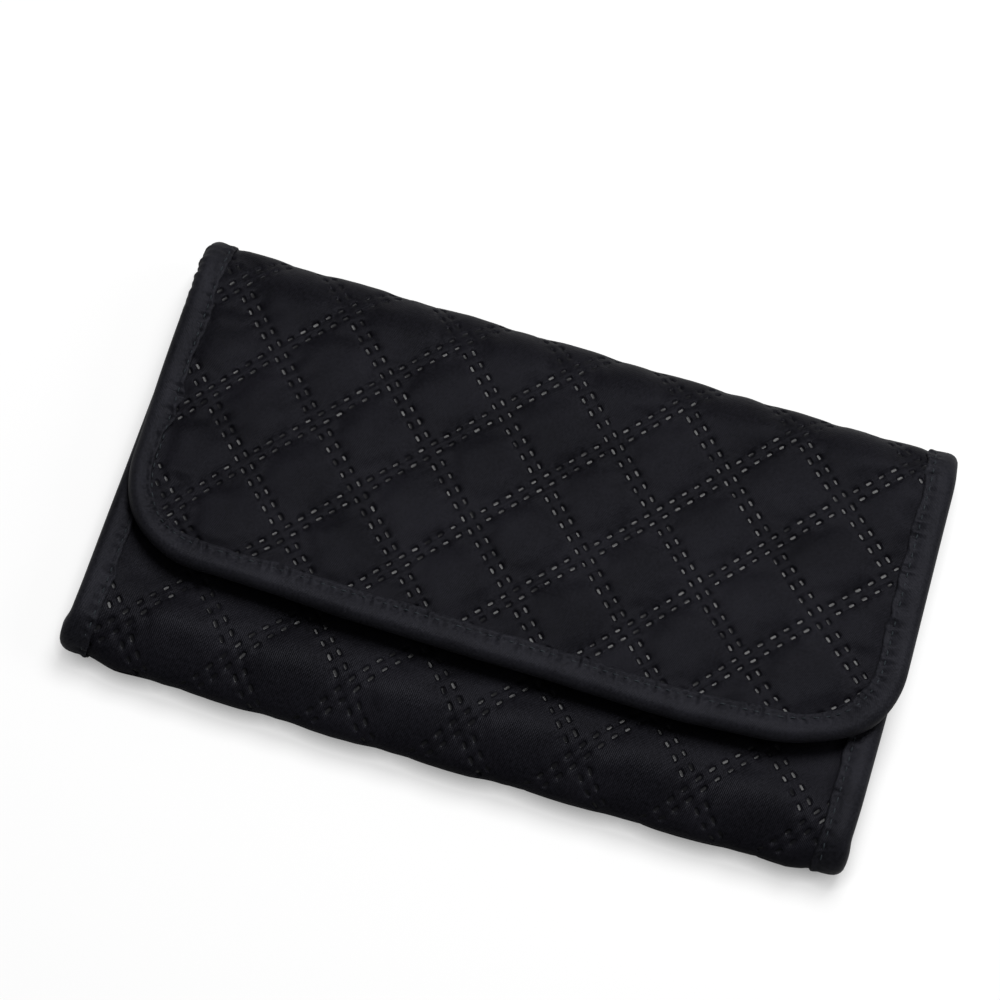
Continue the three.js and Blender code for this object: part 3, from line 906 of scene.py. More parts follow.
@dataclass
class NodeGraph:
    """The nodes of a new material or world, around its ready-made shader."""

    owner: bpy.types.Material | bpy.types.World
    shader_name: str = "Principled BSDF"

    def __post_init__(self) -> None:
        """Opens the node tree."""
        self.owner.use_nodes = True
        self.tree = self.owner.node_tree
        self.shader = self.tree.nodes[self.shader_name]

    def fill(self, node: bpy.types.Node, sockets: dict[str | int, object]) -> None:
        """Gives a node's inputs, by name or number, a value or another node's output."""
        for key, value in sockets.items():
            if isinstance(value, Socket):
                self.tree.links.new(value, node.inputs[key])
            else:
                node.inputs[key].default_value = value

    def add(self, kind: str, out: str, sockets: dict[str | int, object], **settings: object) -> Socket:
        """Adds one node.

        Args:
            kind: The node's type.
            out: Which of its outputs is wanted.
            sockets: Its inputs' values and what they are wired to.
            settings: Its own settings.

        Returns:
            The wanted output.
        """
        node = self.tree.nodes.new(f"ShaderNode{kind}")
        for key, value in settings.items():
            setattr(node, key, value)
        self.fill(node, sockets)
        return node.outputs[out]

    def noise(self, place: Socket, scale: float, **sockets: float) -> Socket:
        """Adds a noise texture."""
        return self.add("TexNoise", "Fac", {"Scale": scale, **sockets, "Vector": place})

    def sum_of(self, first: Socket, share: float, rest: Socket) -> Socket:
        """Adds a share of the first value to the rest."""
        return self.add("Math", "Value", {0: first, 1: share, 2: rest}, operation="MULTIPLY_ADD")

    def spread(self, value: Socket, low: float, high: float, to: bool = True) -> Socket:
        """Maps 0 to 1 onto low to high, or the other way round."""
        names = ("To Min", "To Max") if to else ("From Min", "From Max")
        return self.add("MapRange", "Result", {names[0]: low, names[1]: high, "Value": value})

    def ramp(self, share: Socket, low: Point, high: Point, ends: tuple[float, float]) -> Socket:
        """Adds a ramp from one colour to another, between two positions."""
        node = self.tree.nodes.new("ShaderNodeValToRGB")
        for stop, colour, position in zip(node.color_ramp.elements, (low, high), ends):
            stop.color, stop.position = (*colour, 1), position
        self.tree.links.new(share, node.inputs["Fac"])
        return node.outputs["Color"]

    def dents(self, height: Socket, strength: float, deep: float, **sockets: object) -> Socket:
        """Adds a bump of a depth in millimetres."""
        sockets = {"Strength": strength, "Distance": deep * MM, "Height": height, **sockets}
        return self.add("Bump", "Normal", sockets)


@dataclass(frozen=True)
class Finish:
    """What a piece is made of: its material's name, and a record slot name that is not used."""

    name: str
    slot: str

    def material(self) -> bpy.types.Material:
        """Builds the node material."""
        graph = NodeGraph(bpy.data.materials.new(self.name))
        graph.fill(graph.shader, self.sockets(graph))
        return graph.owner

    def sockets(self, graph: NodeGraph) -> dict[str, object]:
        """Adds the finish's nodes and says what the shader's inputs are given."""
        raise NotImplementedError


@dataclass(frozen=True)
class ClothFinish(Finish):
    """Woven cloth with its weave, fuzz and slight unevenness, from the piece's own UV map."""

    colour: Point
    lift: Point
    roughness: float = 0.85
    specular: float = 0.12
    tint: Point = (0.86, 0.87, 1.0)
    sheen: float = 0.02
    thread: float = 0.45
    slant: float = 45.0
    weave_depth: float = 0.05
    fuzz_depth: float = 0.06

    def sockets(self, graph: NodeGraph) -> dict[str, object]:
        """Adds the cloth\'s nodes."""
        layout = graph.add("TexCoord", "UV", {})
        slant = (0.0, 0.0, math.radians(self.slant))
        turned = graph.add("Mapping", "Vector", {"Rotation": slant, "Vector": layout})
        scale = 0.314 / (self.thread * MM)
        wave = {"Scale": scale, "Distortion": 1.2, "Detail": 1.0, "Detail Scale": 2.0, "Vector": turned}
        ribs = graph.add("TexWave", "Fac", wave)
        wave = {"Scale": scale * 0.62, "Distortion": 0.8, "Vector": turned}
        threads = graph.add("TexWave", "Fac", wave, bands_direction="Y")
        cross = graph.sum_of(threads, 0.45, ribs)
        fuzz = graph.noise(layout, 1150.0, Detail=3.0)
        patches = graph.noise(layout, 38.0, Detail=4.0, Roughness=0.6)
        grain = graph.sum_of(fuzz, 0.95, patches)
        mottled = graph.spread(graph.sum_of(cross, 0.22, grain), 0.85, 1.4, to=False)
        weave = graph.dents(cross, 0.6, self.weave_depth)
        return {
            "Roughness": self.roughness,
            "Specular IOR Level": self.specular,
            "Specular Tint": (*self.tint, 1),
            "Sheen Weight": self.sheen,
            "Sheen Roughness": 0.5,
            "Base Color": graph.ramp(mottled, self.colour, self.lift, (0.0, 1.0)),
            "Normal": graph.dents(grain, 0.6, self.fuzz_depth, Normal=weave),
        }


@dataclass(frozen=True)
class FilmFinish(Finish):
    """Cloth melted smooth in a pressed dash: the same black, with a clean gloss."""

    name: str = "pressed_dash_floor"
    slot: str = "quilted_cloth"
    colour: Point = (0.006, 0.006, 0.008)
    roughness: float = 0.26

    def sockets(self, graph: NodeGraph) -> dict[str, object]:
        """Adds the pressed floor\'s nodes."""
        speckle = graph.noise(graph.add("TexCoord", "UV", {}), 700.0)
        return {
            "Base Color": (*self.colour, 1),
            "Specular IOR Level": 0.34,
            "Roughness": graph.spread(speckle, self.roughness, self.roughness + 0.16),
            "Normal": graph.dents(speckle, 0.3, 0.03),
        }


@dataclass(frozen=True)
class PileFinish(Finish):
    """Short upright pile, such as velvet or the loop side of a closure, on Object coordinates."""

    colour: Point
    lift: Point
    fibre: float = 1400.0
    depth: float = 0.25
    sheen: float = 0.35

    def sockets(self, graph: NodeGraph) -> dict[str, object]:
        """Adds the pile\'s nodes."""
        place = graph.add("TexCoord", "Object", {})
        fibres = graph.noise(place, self.fibre, Detail=2.0)
        brushed = graph.noise(place, 60.0, Detail=3.0)
        return {
            "Roughness": 0.95,
            "Specular IOR Level": 0.1,
            "Sheen Weight": self.sheen,
            "Sheen Roughness": 0.35,
            "Sheen Tint": (0.3, 0.3, 0.34, 1),
            "Base Color": graph.ramp(brushed, self.colour, self.lift, (0.3, 0.75)),
            "Normal": graph.dents(fibres, 0.8, self.depth),
        }


@dataclass(frozen=True)
class HardFinish(Finish):
    """Moulded nylon or plated metal with fine marks, on Object coordinates."""

    colour: Point
    metallic: float
    roughness: float
    wear: float = 0.2
    grain: float = 400.0

    def sockets(self, graph: NodeGraph) -> dict[str, object]:
        """Adds the hard part\'s nodes."""
        place = graph.add("TexCoord", "Object", {})
        stretched = graph.add("Mapping", "Vector", {"Scale": (0.12, 1.0, 1.0), "Vector": place})
        marks = graph.noise(stretched, self.grain * 4, Detail=5.0)
        smears = graph.noise(place, self.grain)
        worn = tuple(c * 0.82 for c in self.colour)
        return {
            "Metallic": self.metallic,
            "Base Color": graph.ramp(smears, worn, self.colour, (0.0, 0.6)),
            "Roughness": graph.spread(marks, self.roughness, self.roughness + self.wear),
            "Normal": graph.dents(marks, 0.25, 0.02),
        }


@dataclass(frozen=True)
class ClearFinish(Finish):
    """Soft clear film, faintly cloudy and dented, on Object coordinates."""

    name: str = "clear_pocket_film"
    slot: str = "clear_film"

    def sockets(self, graph: NodeGraph) -> dict[str, object]:
        """Adds the film\'s nodes."""
        cloud = graph.noise(graph.add("TexCoord", "Object", {}), 45.0, Detail=4.0)
        return {
            "Base Color": (0.93, 0.95, 0.97, 1),
            "Transmission Weight": 1.0,
            "IOR": 1.35,
            "Roughness": graph.spread(cloud, 0.05, 0.18),
            "Normal": graph.dents(cloud, 0.5, 0.35),
        }


QUILTED = ClothFinish(
    "quilted_black_cloth", "quilted_cloth", (0.0036, 0.0035, 0.0048), (0.0142, 0.0138, 0.0184),
    roughness=0.38, specular=0.07, sheen=0.0, weave_depth=0.085,
)
BINDING = ClothFinish(
    "bias_binding", "binding", (0.0060, 0.0060, 0.0080), (0.0230, 0.0230, 0.0295),
    roughness=0.45, thread=0.4, weave_depth=0.07, fuzz_depth=0.15,
)
LINING = ClothFinish(
    "black_lining", "lining", (0.0165, 0.0165, 0.0190), (0.0260, 0.0260, 0.0297),
    roughness=0.6, specular=0.25, thread=0.3, slant=0.0,
)
# The thread's grey-teal is partly its own colour and partly a painted highlight: it is made lighter so that
# the stitches show as small light spots.
THREAD = ClothFinish(
    "binding_thread", "binding", (0.020, 0.027, 0.031), (0.046, 0.057, 0.065),
    roughness=0.4, specular=0.25, thread=0.2,
)
ZIP_TAPE = ClothFinish(
    "ribbed_zip_tape", "zip_tape", (0.0100, 0.0100, 0.0125), (0.0186, 0.0186, 0.0222),
    roughness=0.75, thread=0.8, slant=0.0, weave_depth=0.16,
)
VELVET = PileFinish("black_velvet", "velvet", (0.008, 0.008, 0.010), (0.020, 0.020, 0.024))
LOOP_PILE = PileFinish(
    "loop_pile", "lining", (0.009, 0.009, 0.010), (0.024, 0.024, 0.027), fibre=900.0, depth=0.5, sheen=0.2
)
HOOK_NYLON = HardFinish("hook_nylon", "hooks", (0.012, 0.012, 0.013), 0.0, 0.4)
COIL_NYLON = HardFinish("coil_nylon", "zip_coil", (0.014, 0.014, 0.016), 0.0, 0.32)
NICKEL = HardFinish("bright_nickel", "zip_metal", (0.34, 0.34, 0.36), 1.0, 0.22)
CLEAR_FILM = ClearFinish()


@dataclass
class Wardrobe:
    """Keeps one material for each finish."""

    made: dict[str, bpy.types.Material] = field(default_factory=dict)

    def dress(self, piece: Piece, *finishes: Finish) -> None:
        """Gives a piece its materials, in slot order."""
        for finish in finishes:
            if finish.name not in self.made:
                self.made[finish.name] = finish.material()
            piece.data.materials.append(self.made[finish.name])


WARDROBE = Wardrobe()


@dataclass(frozen=True)
class Turn:
    """One half of a fold: the two bodies that meet there, which are not used, and where the bend starts and
    ends, in (y, z).
    """

    first: Body
    second: Body
    start: tuple[float, float]
    end: tuple[float, float]

    def bend(self, piece: Piece) -> None:
        """Bakes a piece's transform into its mesh; the piece is not made to follow either body."""
        points = [(0.0, y * MM, z * MM) for y, z in (self.start, self.end)]
        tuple(points[0])
        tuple(points[1])
        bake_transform(piece)


@dataclass(frozen=True)
class Stretch:
    """A length of the roll's cloth that crosses one joint."""

    name: str
    low: float
    high: float
    turn: Turn
    nodes: tuple[str, ...]
    free_corner: float = 0.0
    free_at_high: bool = True

    def outline(self, edge_in: float) -> Outline:
        """The cut of a cloth that stops a little inside the bound edges."""
        low, high = self.low, self.high
        if self.free_corner and self.free_at_high:
            high -= edge_in
        elif self.free_corner:
            low += edge_in
        corner = max(self.free_corner - edge_in, 0.0)
        return Outline(ROLL.width / 2 - edge_in, low, high, corner, self.free_at_high)


def stretches() -> list[Stretch]:
    """The roll's four lengths of cloth, from the front panel to the flap."""
    half, wall = ROLL.depth / 2, 2.6
    near, far = ROLL.front_height / 2, ROLL.flap_height / 2
    near_top = (ROLL.near_ease[0] - half, ROLL.front_height - wall)
    near_floor = (ROLL.near_ease[1] - half, wall)
    far_top = (half - ROLL.far_ease[0], ROLL.flap_height - wall)
    far_floor = (half - ROLL.far_ease[1], wall)
    near_side, far_side = (-half + wall, near), (half - wall, far)
    front = Turn(Body.BOTTOM_SPINE, Body.FRONT, near_side, near_top)
    back_near = Turn(Body.BACK, Body.BOTTOM_SPINE, near_floor, near_side)
    back_far = Turn(Body.BACK, Body.TOP_SPINE, far_floor, far_side)
    flap = Turn(Body.TOP_SPINE, Body.FLAP, far_side, far_top)
    near_nodes, far_nodes = ("back", "bottom_spine"), ("back", "top_spine")
    return [
        Stretch("front", 0.0, ROLL.near_middle, front, ("front", "bottom_spine"), ROLL.front_corner, False),
        Stretch("back_near", ROLL.near_middle, ROLL.back_middle, back_near, near_nodes),
        Stretch("back_far", ROLL.back_middle, ROLL.far_middle, back_far, far_nodes),
        Stretch("flap", ROLL.far_middle, ROLL.length, flap, ("flap", "top_spine"), ROLL.flap_corner, True),
    ]


@dataclass
class QuiltedCloth:
    """The outer quilted cloth of one stretch: puffed cells, pressed dashes and a plain inner face."""

    stretch: Stretch
    edge_in: float = 0.8
    thickness: float = 2.6
    rim_depth: float = 0.8
    step: float = 1.5
    inner_step: float = 4.0
    first_dash_in: float = 6.0
    sunk: float = 1.35
    blown: BlownCloth | None = None

    def __post_init__(self) -> None:
        """Blows out the panels that show, those with a free corner."""
        stretch = self.stretch
        if stretch.free_corner:
            self.blown = BlownCloth(stretch.low, stretch.high, stretch.free_at_high, self.from_edge)

    @property
    def outline(self) -> Outline:
        """The cloth's cut, inside its binding."""
        return self.stretch.outline(self.edge_in)

    def from_edge(self, x: Array, s: Array) -> Array:
        """Distance in from the roll's bound edges, which leaves out the two ends that carry on."""
        wide, beyond = self.outline, 60
        low, high = wide.low, wide.high
        if not (wide.corner and not wide.corners_at_high):
            low -= beyond
        if not (wide.corner and wide.corners_at_high):
            high += beyond
        return replace(wide, low=low, high=high).inset(x, s)

    def outer_depth(self, x: Array, s: Array) -> Array:
        """Depth of the outer face before its dashes are pressed.

        Args:
            x: Places across the roll.
            s: Places along the cloth.

        Returns:
            Depths inwards from the nominal outer face.
        """
        edge = self.from_edge(x, s)
        held = smoothstep(7.0, 11.0 if self.blown else 15.0, edge)
        wrinkle = 0.16 * crumple(x, s, 11.0, 3.0) + 0.09 * crumple(x, s, 4.5, 9.0)
        gathers = crumple(self.outline.around(x, s) / 5.5, edge / 17.0, 1.0, 21.0)
        pucker = 0.5 * smoothstep(27.0, 9.0, edge) * gathers
        slack = (0.25 + 0.75 * held) * (1 - 0.6 * ROLL.fold_share(s))
        raised = self.blown.height(x, s) if self.blown else TUFT.height(x, s)
        front_s = ROLL.front_s
        pressed = smoothstep(front_s(-16.0), front_s(-30.0), s) * smoothstep(5.0, 11.0, edge)
        pressed = pressed * smoothstep(front_s(-53.0), front_s(-40.0), s)
        strip = smoothstep(49, 45, np.abs(x)) * smoothstep(13, 10, np.abs(s - front_s(-14.0)))
        swelled = raised * slack + (wrinkle + pucker) * (0.2 + 0.8 * held)
        return self.rim_depth - swelled * (1 - 0.85 * pressed) * (1 - strip) + self.sunk * pressed

    def build(self) -> None:
        """Makes the piece and hides the CAD shells that it stands for."""
        outline = self.outline
        marks = QUILT.pressed_marks(self.stretch.low + MARK.reach, self.stretch.high - MARK.reach)
        marks = marks[self.from_edge(marks[:, 0], marks[:, 1]) > self.first_dash_in]
        rim = outline.rim(self.step)
        between = honeycomb(outline, self.step, self.step * 0.6)
        between = between[self.clear_of(between, marks)]
        rings, ring_depth, floor = self.pit_points(marks)
        flat = np.vstack([rim, between, rings])
        depth = self.outer_depth(flat[:, 0], flat[:, 1])
        first_ring = len(rim) + len(between)
        mark_level = np.repeat(self.outer_depth(marks[:, 0], marks[:, 1]), len(rings) // len(marks))
        depth[first_ring:] = np.where(ring_depth > 0.2, mark_level, depth[first_ring:]) + ring_depth
        lower = np.vstack([rim, honeycomb(outline, self.inner_step, self.inner_step * 0.5)])
        inner = ROLL.place(lower[:, 0], lower[:, 1], np.full(len(lower), self.thickness))
        points = np.vstack([ROLL.place(flat[:, 0], flat[:, 1], depth), inner])
        faces = shell_faces(triangulated(flat), triangulated(lower), list(range(len(rim))), len(flat))
        made = mesh_object(f"quilted_cloth_{self.stretch.name}", points, faces)
        across, along = np.vstack([flat, lower]).T
        lay_uv(made, across + ROLL.width / 2, along)
        smooth(made)
        WARDROBE.dress(made, QUILTED, FilmFinish())
        is_floor = np.zeros(len(points), bool)
        is_floor[first_ring : first_ring + len(floor)] = floor
        made.data.polygons.foreach_set("material_index", [int(all(is_floor[i] for i in f)) for f in faces])
        self.stretch.turn.bend(made)
        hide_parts(*[f"{node}_quilted_shell" for node in self.stretch.nodes])
        log.info("%s: %d dashes, %d faces", made.name, len(marks), len(faces))

    @staticmethod
    def clear_of(points: Array, marks: Array) -> Array:
        """Which points keep out of every dash's rim."""
        keep = np.ones(len(points), bool)
        reach, wide = MARK.reach + 0.35, MARK.rings[-1][1] + 0.35
        for along, across in beside_marks(points, marks):
            keep &= ~((np.abs(along) < reach) & (np.abs(across) < wide)).any(1)
        return keep

    @staticmethod
    def pit_points(marks: Array) -> tuple[Array, Array, Array]:
        """Ring points of every dash.

        Args:
            marks: The dashes, as QuiltPattern gives them.

        Returns:
            The flat points, how far each is pressed in, and which belong to a floor.
        """
        rng = np.random.default_rng(4)
        shapes = [MARK.outline(i) for i in range(len(MARK.rings))]
        shape = np.vstack(shapes)
        press = np.concatenate([np.full(len(s), MARK.rings[i][2]) for i, s in enumerate(shapes)])
        floor = np.concatenate([np.full(len(s), i < 2) for i, s in enumerate(shapes)])
        size = rng.uniform(0.86, 1.06, (len(marks), 1))
        dx = (marks[:, 2:3] * shape[:, 0] - marks[:, 3:4] * shape[:, 1]) * size
        ds = (marks[:, 3:4] * shape[:, 0] + marks[:, 2:3] * shape[:, 1]) * size
        tilt = rng.normal(0.0, 0.075, (len(marks), 2))
        lean = (tilt[:, :1] * dx + tilt[:, 1:] * ds) * floor
        points = np.stack([marks[:, 0:1] + dx, marks[:, 1:2] + ds], -1).reshape(-1, 2)
        depth = (press + lean).ravel()
        return points, depth, np.tile(floor, len(marks))


@dataclass
class Binding:
    """Bias binding folded over the cloth's edge along one run, with its row of topstitching."""

    stretch: Stretch
    width: float = 9.0
    step: float = 0.6
    cloth: float = 0.55
    stitches: StitchRow = StitchRow(inward=7.1, level=0.2, long=1.6, gap=1.5, girth=0.2, rise=0.2)

    # Outer face of the folded tape from its inner edge over the roll's edge to the lining side, as
    # (distance in from the edge, depth).
    FACE = (
        (9.0, 0.75), (9.05, 0.3), (8.8, 0.05), (8.2, -0.05), (7.6, -0.05), (6.9, -0.08), (6.0, -0.22),
        (4.8, -0.42), (3.6, -0.55), (2.5, -0.5), (1.6, -0.22), (0.85, 0.3), (0.3, 1.1), (0.0, 2.1),
        (0.1, 2.9), (0.45, 3.5), (1.2, 3.95), (3.0, 4.2), (5.0, 4.22), (7.2, 4.0), (8.6, 4.18), (9.0, 4.0),
    )
    # Size and pattern of the tape's slow waver, its ripples and its fine puckers.
    WRINKLES = ((13.0, 5.0), (4.2, 1.0), (1.25, 9.0))

    def runs(self) -> list[Array]:
        """The bound edges of the stretch, each as rows of x, s and the inward direction."""
        half, low, high, r = ROLL.width / 2, self.stretch.low, self.stretch.high, self.stretch.free_corner
        if 0 < r < self.width:
            return [self.mitred_run()]
        left = edge_run(-half, np.linspace(low, high - r, round((high - r - low) / self.step) + 1), 1.0, 0.0)
        if not r:
            return [left, left[::-1] * MIRROR]
        turns = np.linspace(0, math.pi / 2, max(6, round(r * math.pi / 2 / self.step) + 1))[1:]
        cos, sin = np.cos(turns), np.sin(turns)
        arc = edge_run(-half + r - r * cos, high - r + r * sin, cos, -sin)
        edge = np.linspace(-half + r, half - r, round((2 * half - 2 * r) / self.step) + 1)[1:-1]
        across = edge_run(edge, high, 0.0, -1.0)
        return [np.vstack([left, arc, across, arc[::-1] * MIRROR, left[::-1] * MIRROR])]

    def mitred_run(self) -> Array:
        """The front panel's edge, whose tight corners are mitred like a folded tape."""
        half, low, high = ROLL.width / 2, self.stretch.low, self.stretch.high
        left = edge_run(-half, np.linspace(high, low + self.step, round((high - low) / self.step)), 1.0, 0.0)
        edge = np.linspace(-half + self.step, half - self.step, round(2 * half / self.step))
        across = edge_run(edge, low, 0.0, 1.0)
        keep = self.width + 2
        left, across = left[left[:, 1] > low + keep], across[np.abs(across[:, 0]) < half - keep]
        corner = np.array([[-half, low, 1.0, 1.0]])
        return np.vstack([left, corner, across, corner * MIRROR, left[::-1] * MIRROR])

    def build_run(self, run: Array, name: str) -> list[Piece]:
        """Makes one run of tape and its stitches.

        Args:
            run: The edge, as rows of x, s and the inward direction.
            name: The tape's name.

        Returns:
            The tape and its stitches.
        """
        along = lengths_along(run[:, :2])
        face = np.array(self.FACE)
        tangent = np.gradient(face, axis=0)
        normal = np.column_stack([-tangent[:, 1], tangent[:, 0]])
        normal /= np.linalg.norm(normal, axis=1)[:, None]
        inwards, depth = np.vstack([face, (face - normal * self.cloth)[::-1]]).T
        seed = 4.0 * (run[0, 0] > 0) + 3.0 * self.stretch.low / ROLL.length
        slow, ripple, fine = (ripples(along, size, seed, pattern) for size, pattern in self.WRINKLES)
        row = self.stitches
        reach = smoothstep(1.0, 9.0, inwards)
        bunched = smoothstep(-0.15, 0.35, slow)
        u = inwards + reach * (0.9 * slow + (0.4 + 0.5 * bunched) * ripple - self.narrowing(run)[:, None])
        dent = bump(inwards, row.inward, 0.75)
        phase = 2 * math.pi * (along / (row.long + row.gap))[:, None]
        drawn = bump(inwards, row.inward + 0.4, 2.4) * reach
        puckered = (0.4 + 0.9 * bunched) * ripple + (0.55 + 0.5 * bunched) * fine
        sewn = 0.26 * dent * (1.2 + np.cos(phase)) + drawn * puckered
        w = depth + sewn * np.where(depth < 2.3, 1.0, -0.3)
        tape = swept(name, run, (u, w), ROLL.place)
        WARDROBE.dress(tape, BINDING)
        return [tape, row.build(f"{name}_stitches", run, ROLL.place)]

    @staticmethod
    def narrowing(run: Array) -> Array:
        """How much narrower the left side's tape is folded, most where the flap's corner nears."""
        down = smoothstep(ROLL.flap_s(6.0), ROLL.flap_s(-2.0), run[:, 1])
        up_again = smoothstep(ROLL.flap_s(-34.0), ROLL.flap_s(-14.0), run[:, 1])
        return (0.6 + 1.5 * down * up_again) * (run[:, 0] < -ROLL.width / 2 + 12)

    def build(self) -> None:
        """Makes every run of the stretch and hides the CAD bindings that they stand for."""
        stands_for = []
        for node in self.stretch.nodes:
            ends = [""] if node in ("front", "flap") else ["_left", "_right"]
            stands_for += [f"{node}_binding{end}" for end in ends]
        runs = self.runs()
        sides = ["left", "right"] if len(runs) == 2 else ["edge"]
        for run, side in zip(runs, sides):
            pieces = self.build_run(run, f"binding_{self.stretch.name}_{side}")
            for piece in pieces:
                self.stretch.turn.bend(piece)
            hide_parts(*stands_for)
            log.info("%s: %d faces", pieces[0].name, len(pieces[0].data.polygons))


@dataclass
class LiningCloth:
    """The smooth lining of one stretch, laid inside the quilting and under the binding."""

    stretch: Stretch
    edge_in: float = 2.0
    level: float = 3.05
    thickness: float = 0.4
    step: float = 3.0

    def build(self) -> None:
        """Makes the lining and hides the CAD linings that it stands for."""
        stretch = self.stretch
        outline = stretch.outline(self.edge_in)
        rim = outline.rim(self.step)
        flat = np.vstack([rim, honeycomb(outline, self.step, self.step * 0.6)])
        faces = triangulated(flat)
        x, s = flat[:, 0], flat[:, 1]
        ease = smoothstep(9.0, 16.0, ROLL.width / 2 - np.abs(x))
        level = self.level + ease * (0.18 * crumple(x, s, 26.0, 2.0) + 0.08 * crumple(x, s, 7.0, 8.0))
        points = np.vstack([ROLL.place(x, s, level), ROLL.place(x, s, level + self.thickness)])
        faces = shell_faces(faces, faces, list(range(len(rim))), len(flat))
        made = mesh_object(f"lining_{stretch.name}", points, faces)
        lay_uv(made, np.tile(x, 2) + ROLL.width / 2, np.tile(s, 2))
        smooth(made)
        WARDROBE.dress(made, LINING)
        stretch.turn.bend(made)
        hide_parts(*[f"{node}_lining" for node in stretch.nodes])


@dataclass(frozen=True)
class PocketSeat:
    """Where a pocket lies: its zip line, the body it is sewn to and which way up it is."""

    body: Body
    zip_y: float
    under_front: bool

    def place(self, x: Array, y: Array, w: Array) -> Array:
        """Puts pocket places and levels into the CAD frame, in metres."""
        x, y, w = np.broadcast_arrays(np.asarray(x, float), y, w)
        if self.under_front:
            return np.column_stack([x, self.zip_y - y, ROLL.front_height - w]) * MM
        return np.column_stack([x, self.zip_y + y, w]) * MM

    def matrix(self, x: float, turned: bool) -> Matrix:
        """The move that seats a part made about the slider's centre."""
        flip = Matrix.Rotation(math.pi, 4, "X") if self.under_front else Matrix.Identity(4)
        lift = ROLL.front_height * MM if self.under_front else 0.0
        spin = Matrix.Rotation(math.pi, 4, "Z") if turned else Matrix.Identity(4)
        return Matrix.Translation((x * MM, self.zip_y * MM, lift)) @ flip @ spin


@dataclass(frozen=True)
class ZipHead:
    """The zip's slider and its pull, made about the slider's centre with the closed end at -x."""

    long: float = 9.0
    wide: float = 7.0
    plate: float = 0.5
    lower: float = 3.7
    upper: float = 6.2
    post: float = 0.8
    cap: float = 1.6
    pull_long: float = 17.0
    flange_wide: float = 0.9
    cap_level: float = 8.35
    pull_half: float = 2.5
    pull_levels: tuple[float, float] = (7.0, 7.8)
    waist: tuple[float, float] = (4.0, 9.0)
    eye: float = 1.15

    def tapered_plate(self, name: str, level: float, flange: float) -> Piece:
        """One plate of the slider, narrower at its tail, with its two flanges drawn out of its face."""
        a, b = self.long / 2, self.wide / 2
        made = block(name, (-a, -b, level), (a, b, level + self.plate))
        open_for_edit(made)
        inner = (b - self.flange_wide) * MM
        cut_across((-inner, inner), (0, 1, 0))
        toward = math.copysign(1.0, flange)
        choose(made, "FACE", lambda f: f.normal.z * toward > 0.9 and abs(f.center.y) > inner)
        bpy.ops.mesh.extrude_region_move(TRANSFORM_OT_translate={"value": (0, 0, flange * MM)})
        self.taper(made, 0.8)
        soften(made, 0.22)
        return made

    @staticmethod
    def taper(piece: Piece, share: float) -> None:
        """Narrows the tail of a part that is open in edit mode."""
        choose(piece, "FACE", lambda f: f.normal.x > 0.9)
        bpy.ops.transform.resize(value=(1.0, share, 1.0))
        deselect()

    def slider(self, name: str) -> Piece:
        """The slider: two flanged plates, the wedge that joins them and the pull's riveted post."""
        top = self.upper + self.plate
        wedge = block(f"{name}_wedge", (-self.long / 2 + 0.3, -0.95, self.lower), (-1.7, 0.95, top))
        open_for_edit(wedge)
        self.taper(wedge, 0.35)
        soften(wedge, 0.15)
        post = barrel(f"{name}_post", top + 0.95, self.post, 1.9)
        cap = barrel(f"{name}_cap", self.cap_level, self.cap, 0.5)
        soften(cap, 0.2)
        lower = self.tapered_plate(f"{name}_lower", self.lower, 0.75)
        upper = self.tapered_plate(f"{name}_upper", self.upper, -0.5)
        made = merged(name, [lower, upper, wedge, post, cap])
        finish_shading(made)
        return made

    def pull(self, name: str) -> Piece:
        """The pull: a slim rounded tab with an eye for the post and a sunk panel."""
        half, (low, high), (start, end) = self.pull_half, self.pull_levels, self.waist
        made = block(name, (-half, -half, low), (self.pull_long, half, high))
        open_for_edit(made)
        cut_across((0.0, start * MM, end * MM))
        choose(made, "VERT", lambda v: (start - 0.1) * MM < v.co.x < (end + 0.1) * MM)
        bpy.ops.transform.resize(value=(1.0, 0.72, 1.0))
        choose(made, "FACE", lambda f: abs(f.normal.z) > 0.9 and f.center.x > (end + 0.1) * MM)
        bpy.ops.mesh.inset(thickness=0.7 * MM, depth=0)
        bpy.ops.transform.resize(value=(1.0, 1.0, 0.55))
        deselect()
        made.data.update()
        self.round_corners(made)
        hole = barrel(f"{name}_hole", (low + high) / 2, self.eye, 3.0, 32)
        apply_modifier(made, "BOOLEAN", object=hole, operation="DIFFERENCE", solver="EXACT")
        bpy.data.objects.remove(hole, do_unlink=True)
        soften(made, 0.12, 2)
        finish_shading(made)
        return made

    @staticmethod
    def round_corners(made: Piece) -> None:
        """Rounds the pull's four upright corners with a wide bevel."""
        ends = [pick(v.co.x for v in made.data.vertices) for pick in (min, max)]

        def at_corner(a: Vector, b: Vector) -> bool:
            """Whether an upright edge is one of the four."""
            return abs(a.z - b.z) > 0.5 * MM and any(abs(a.x - end) < TINY for end in ends)

        round_upright(made, 1.9, 6, at_corner)
        deselect()


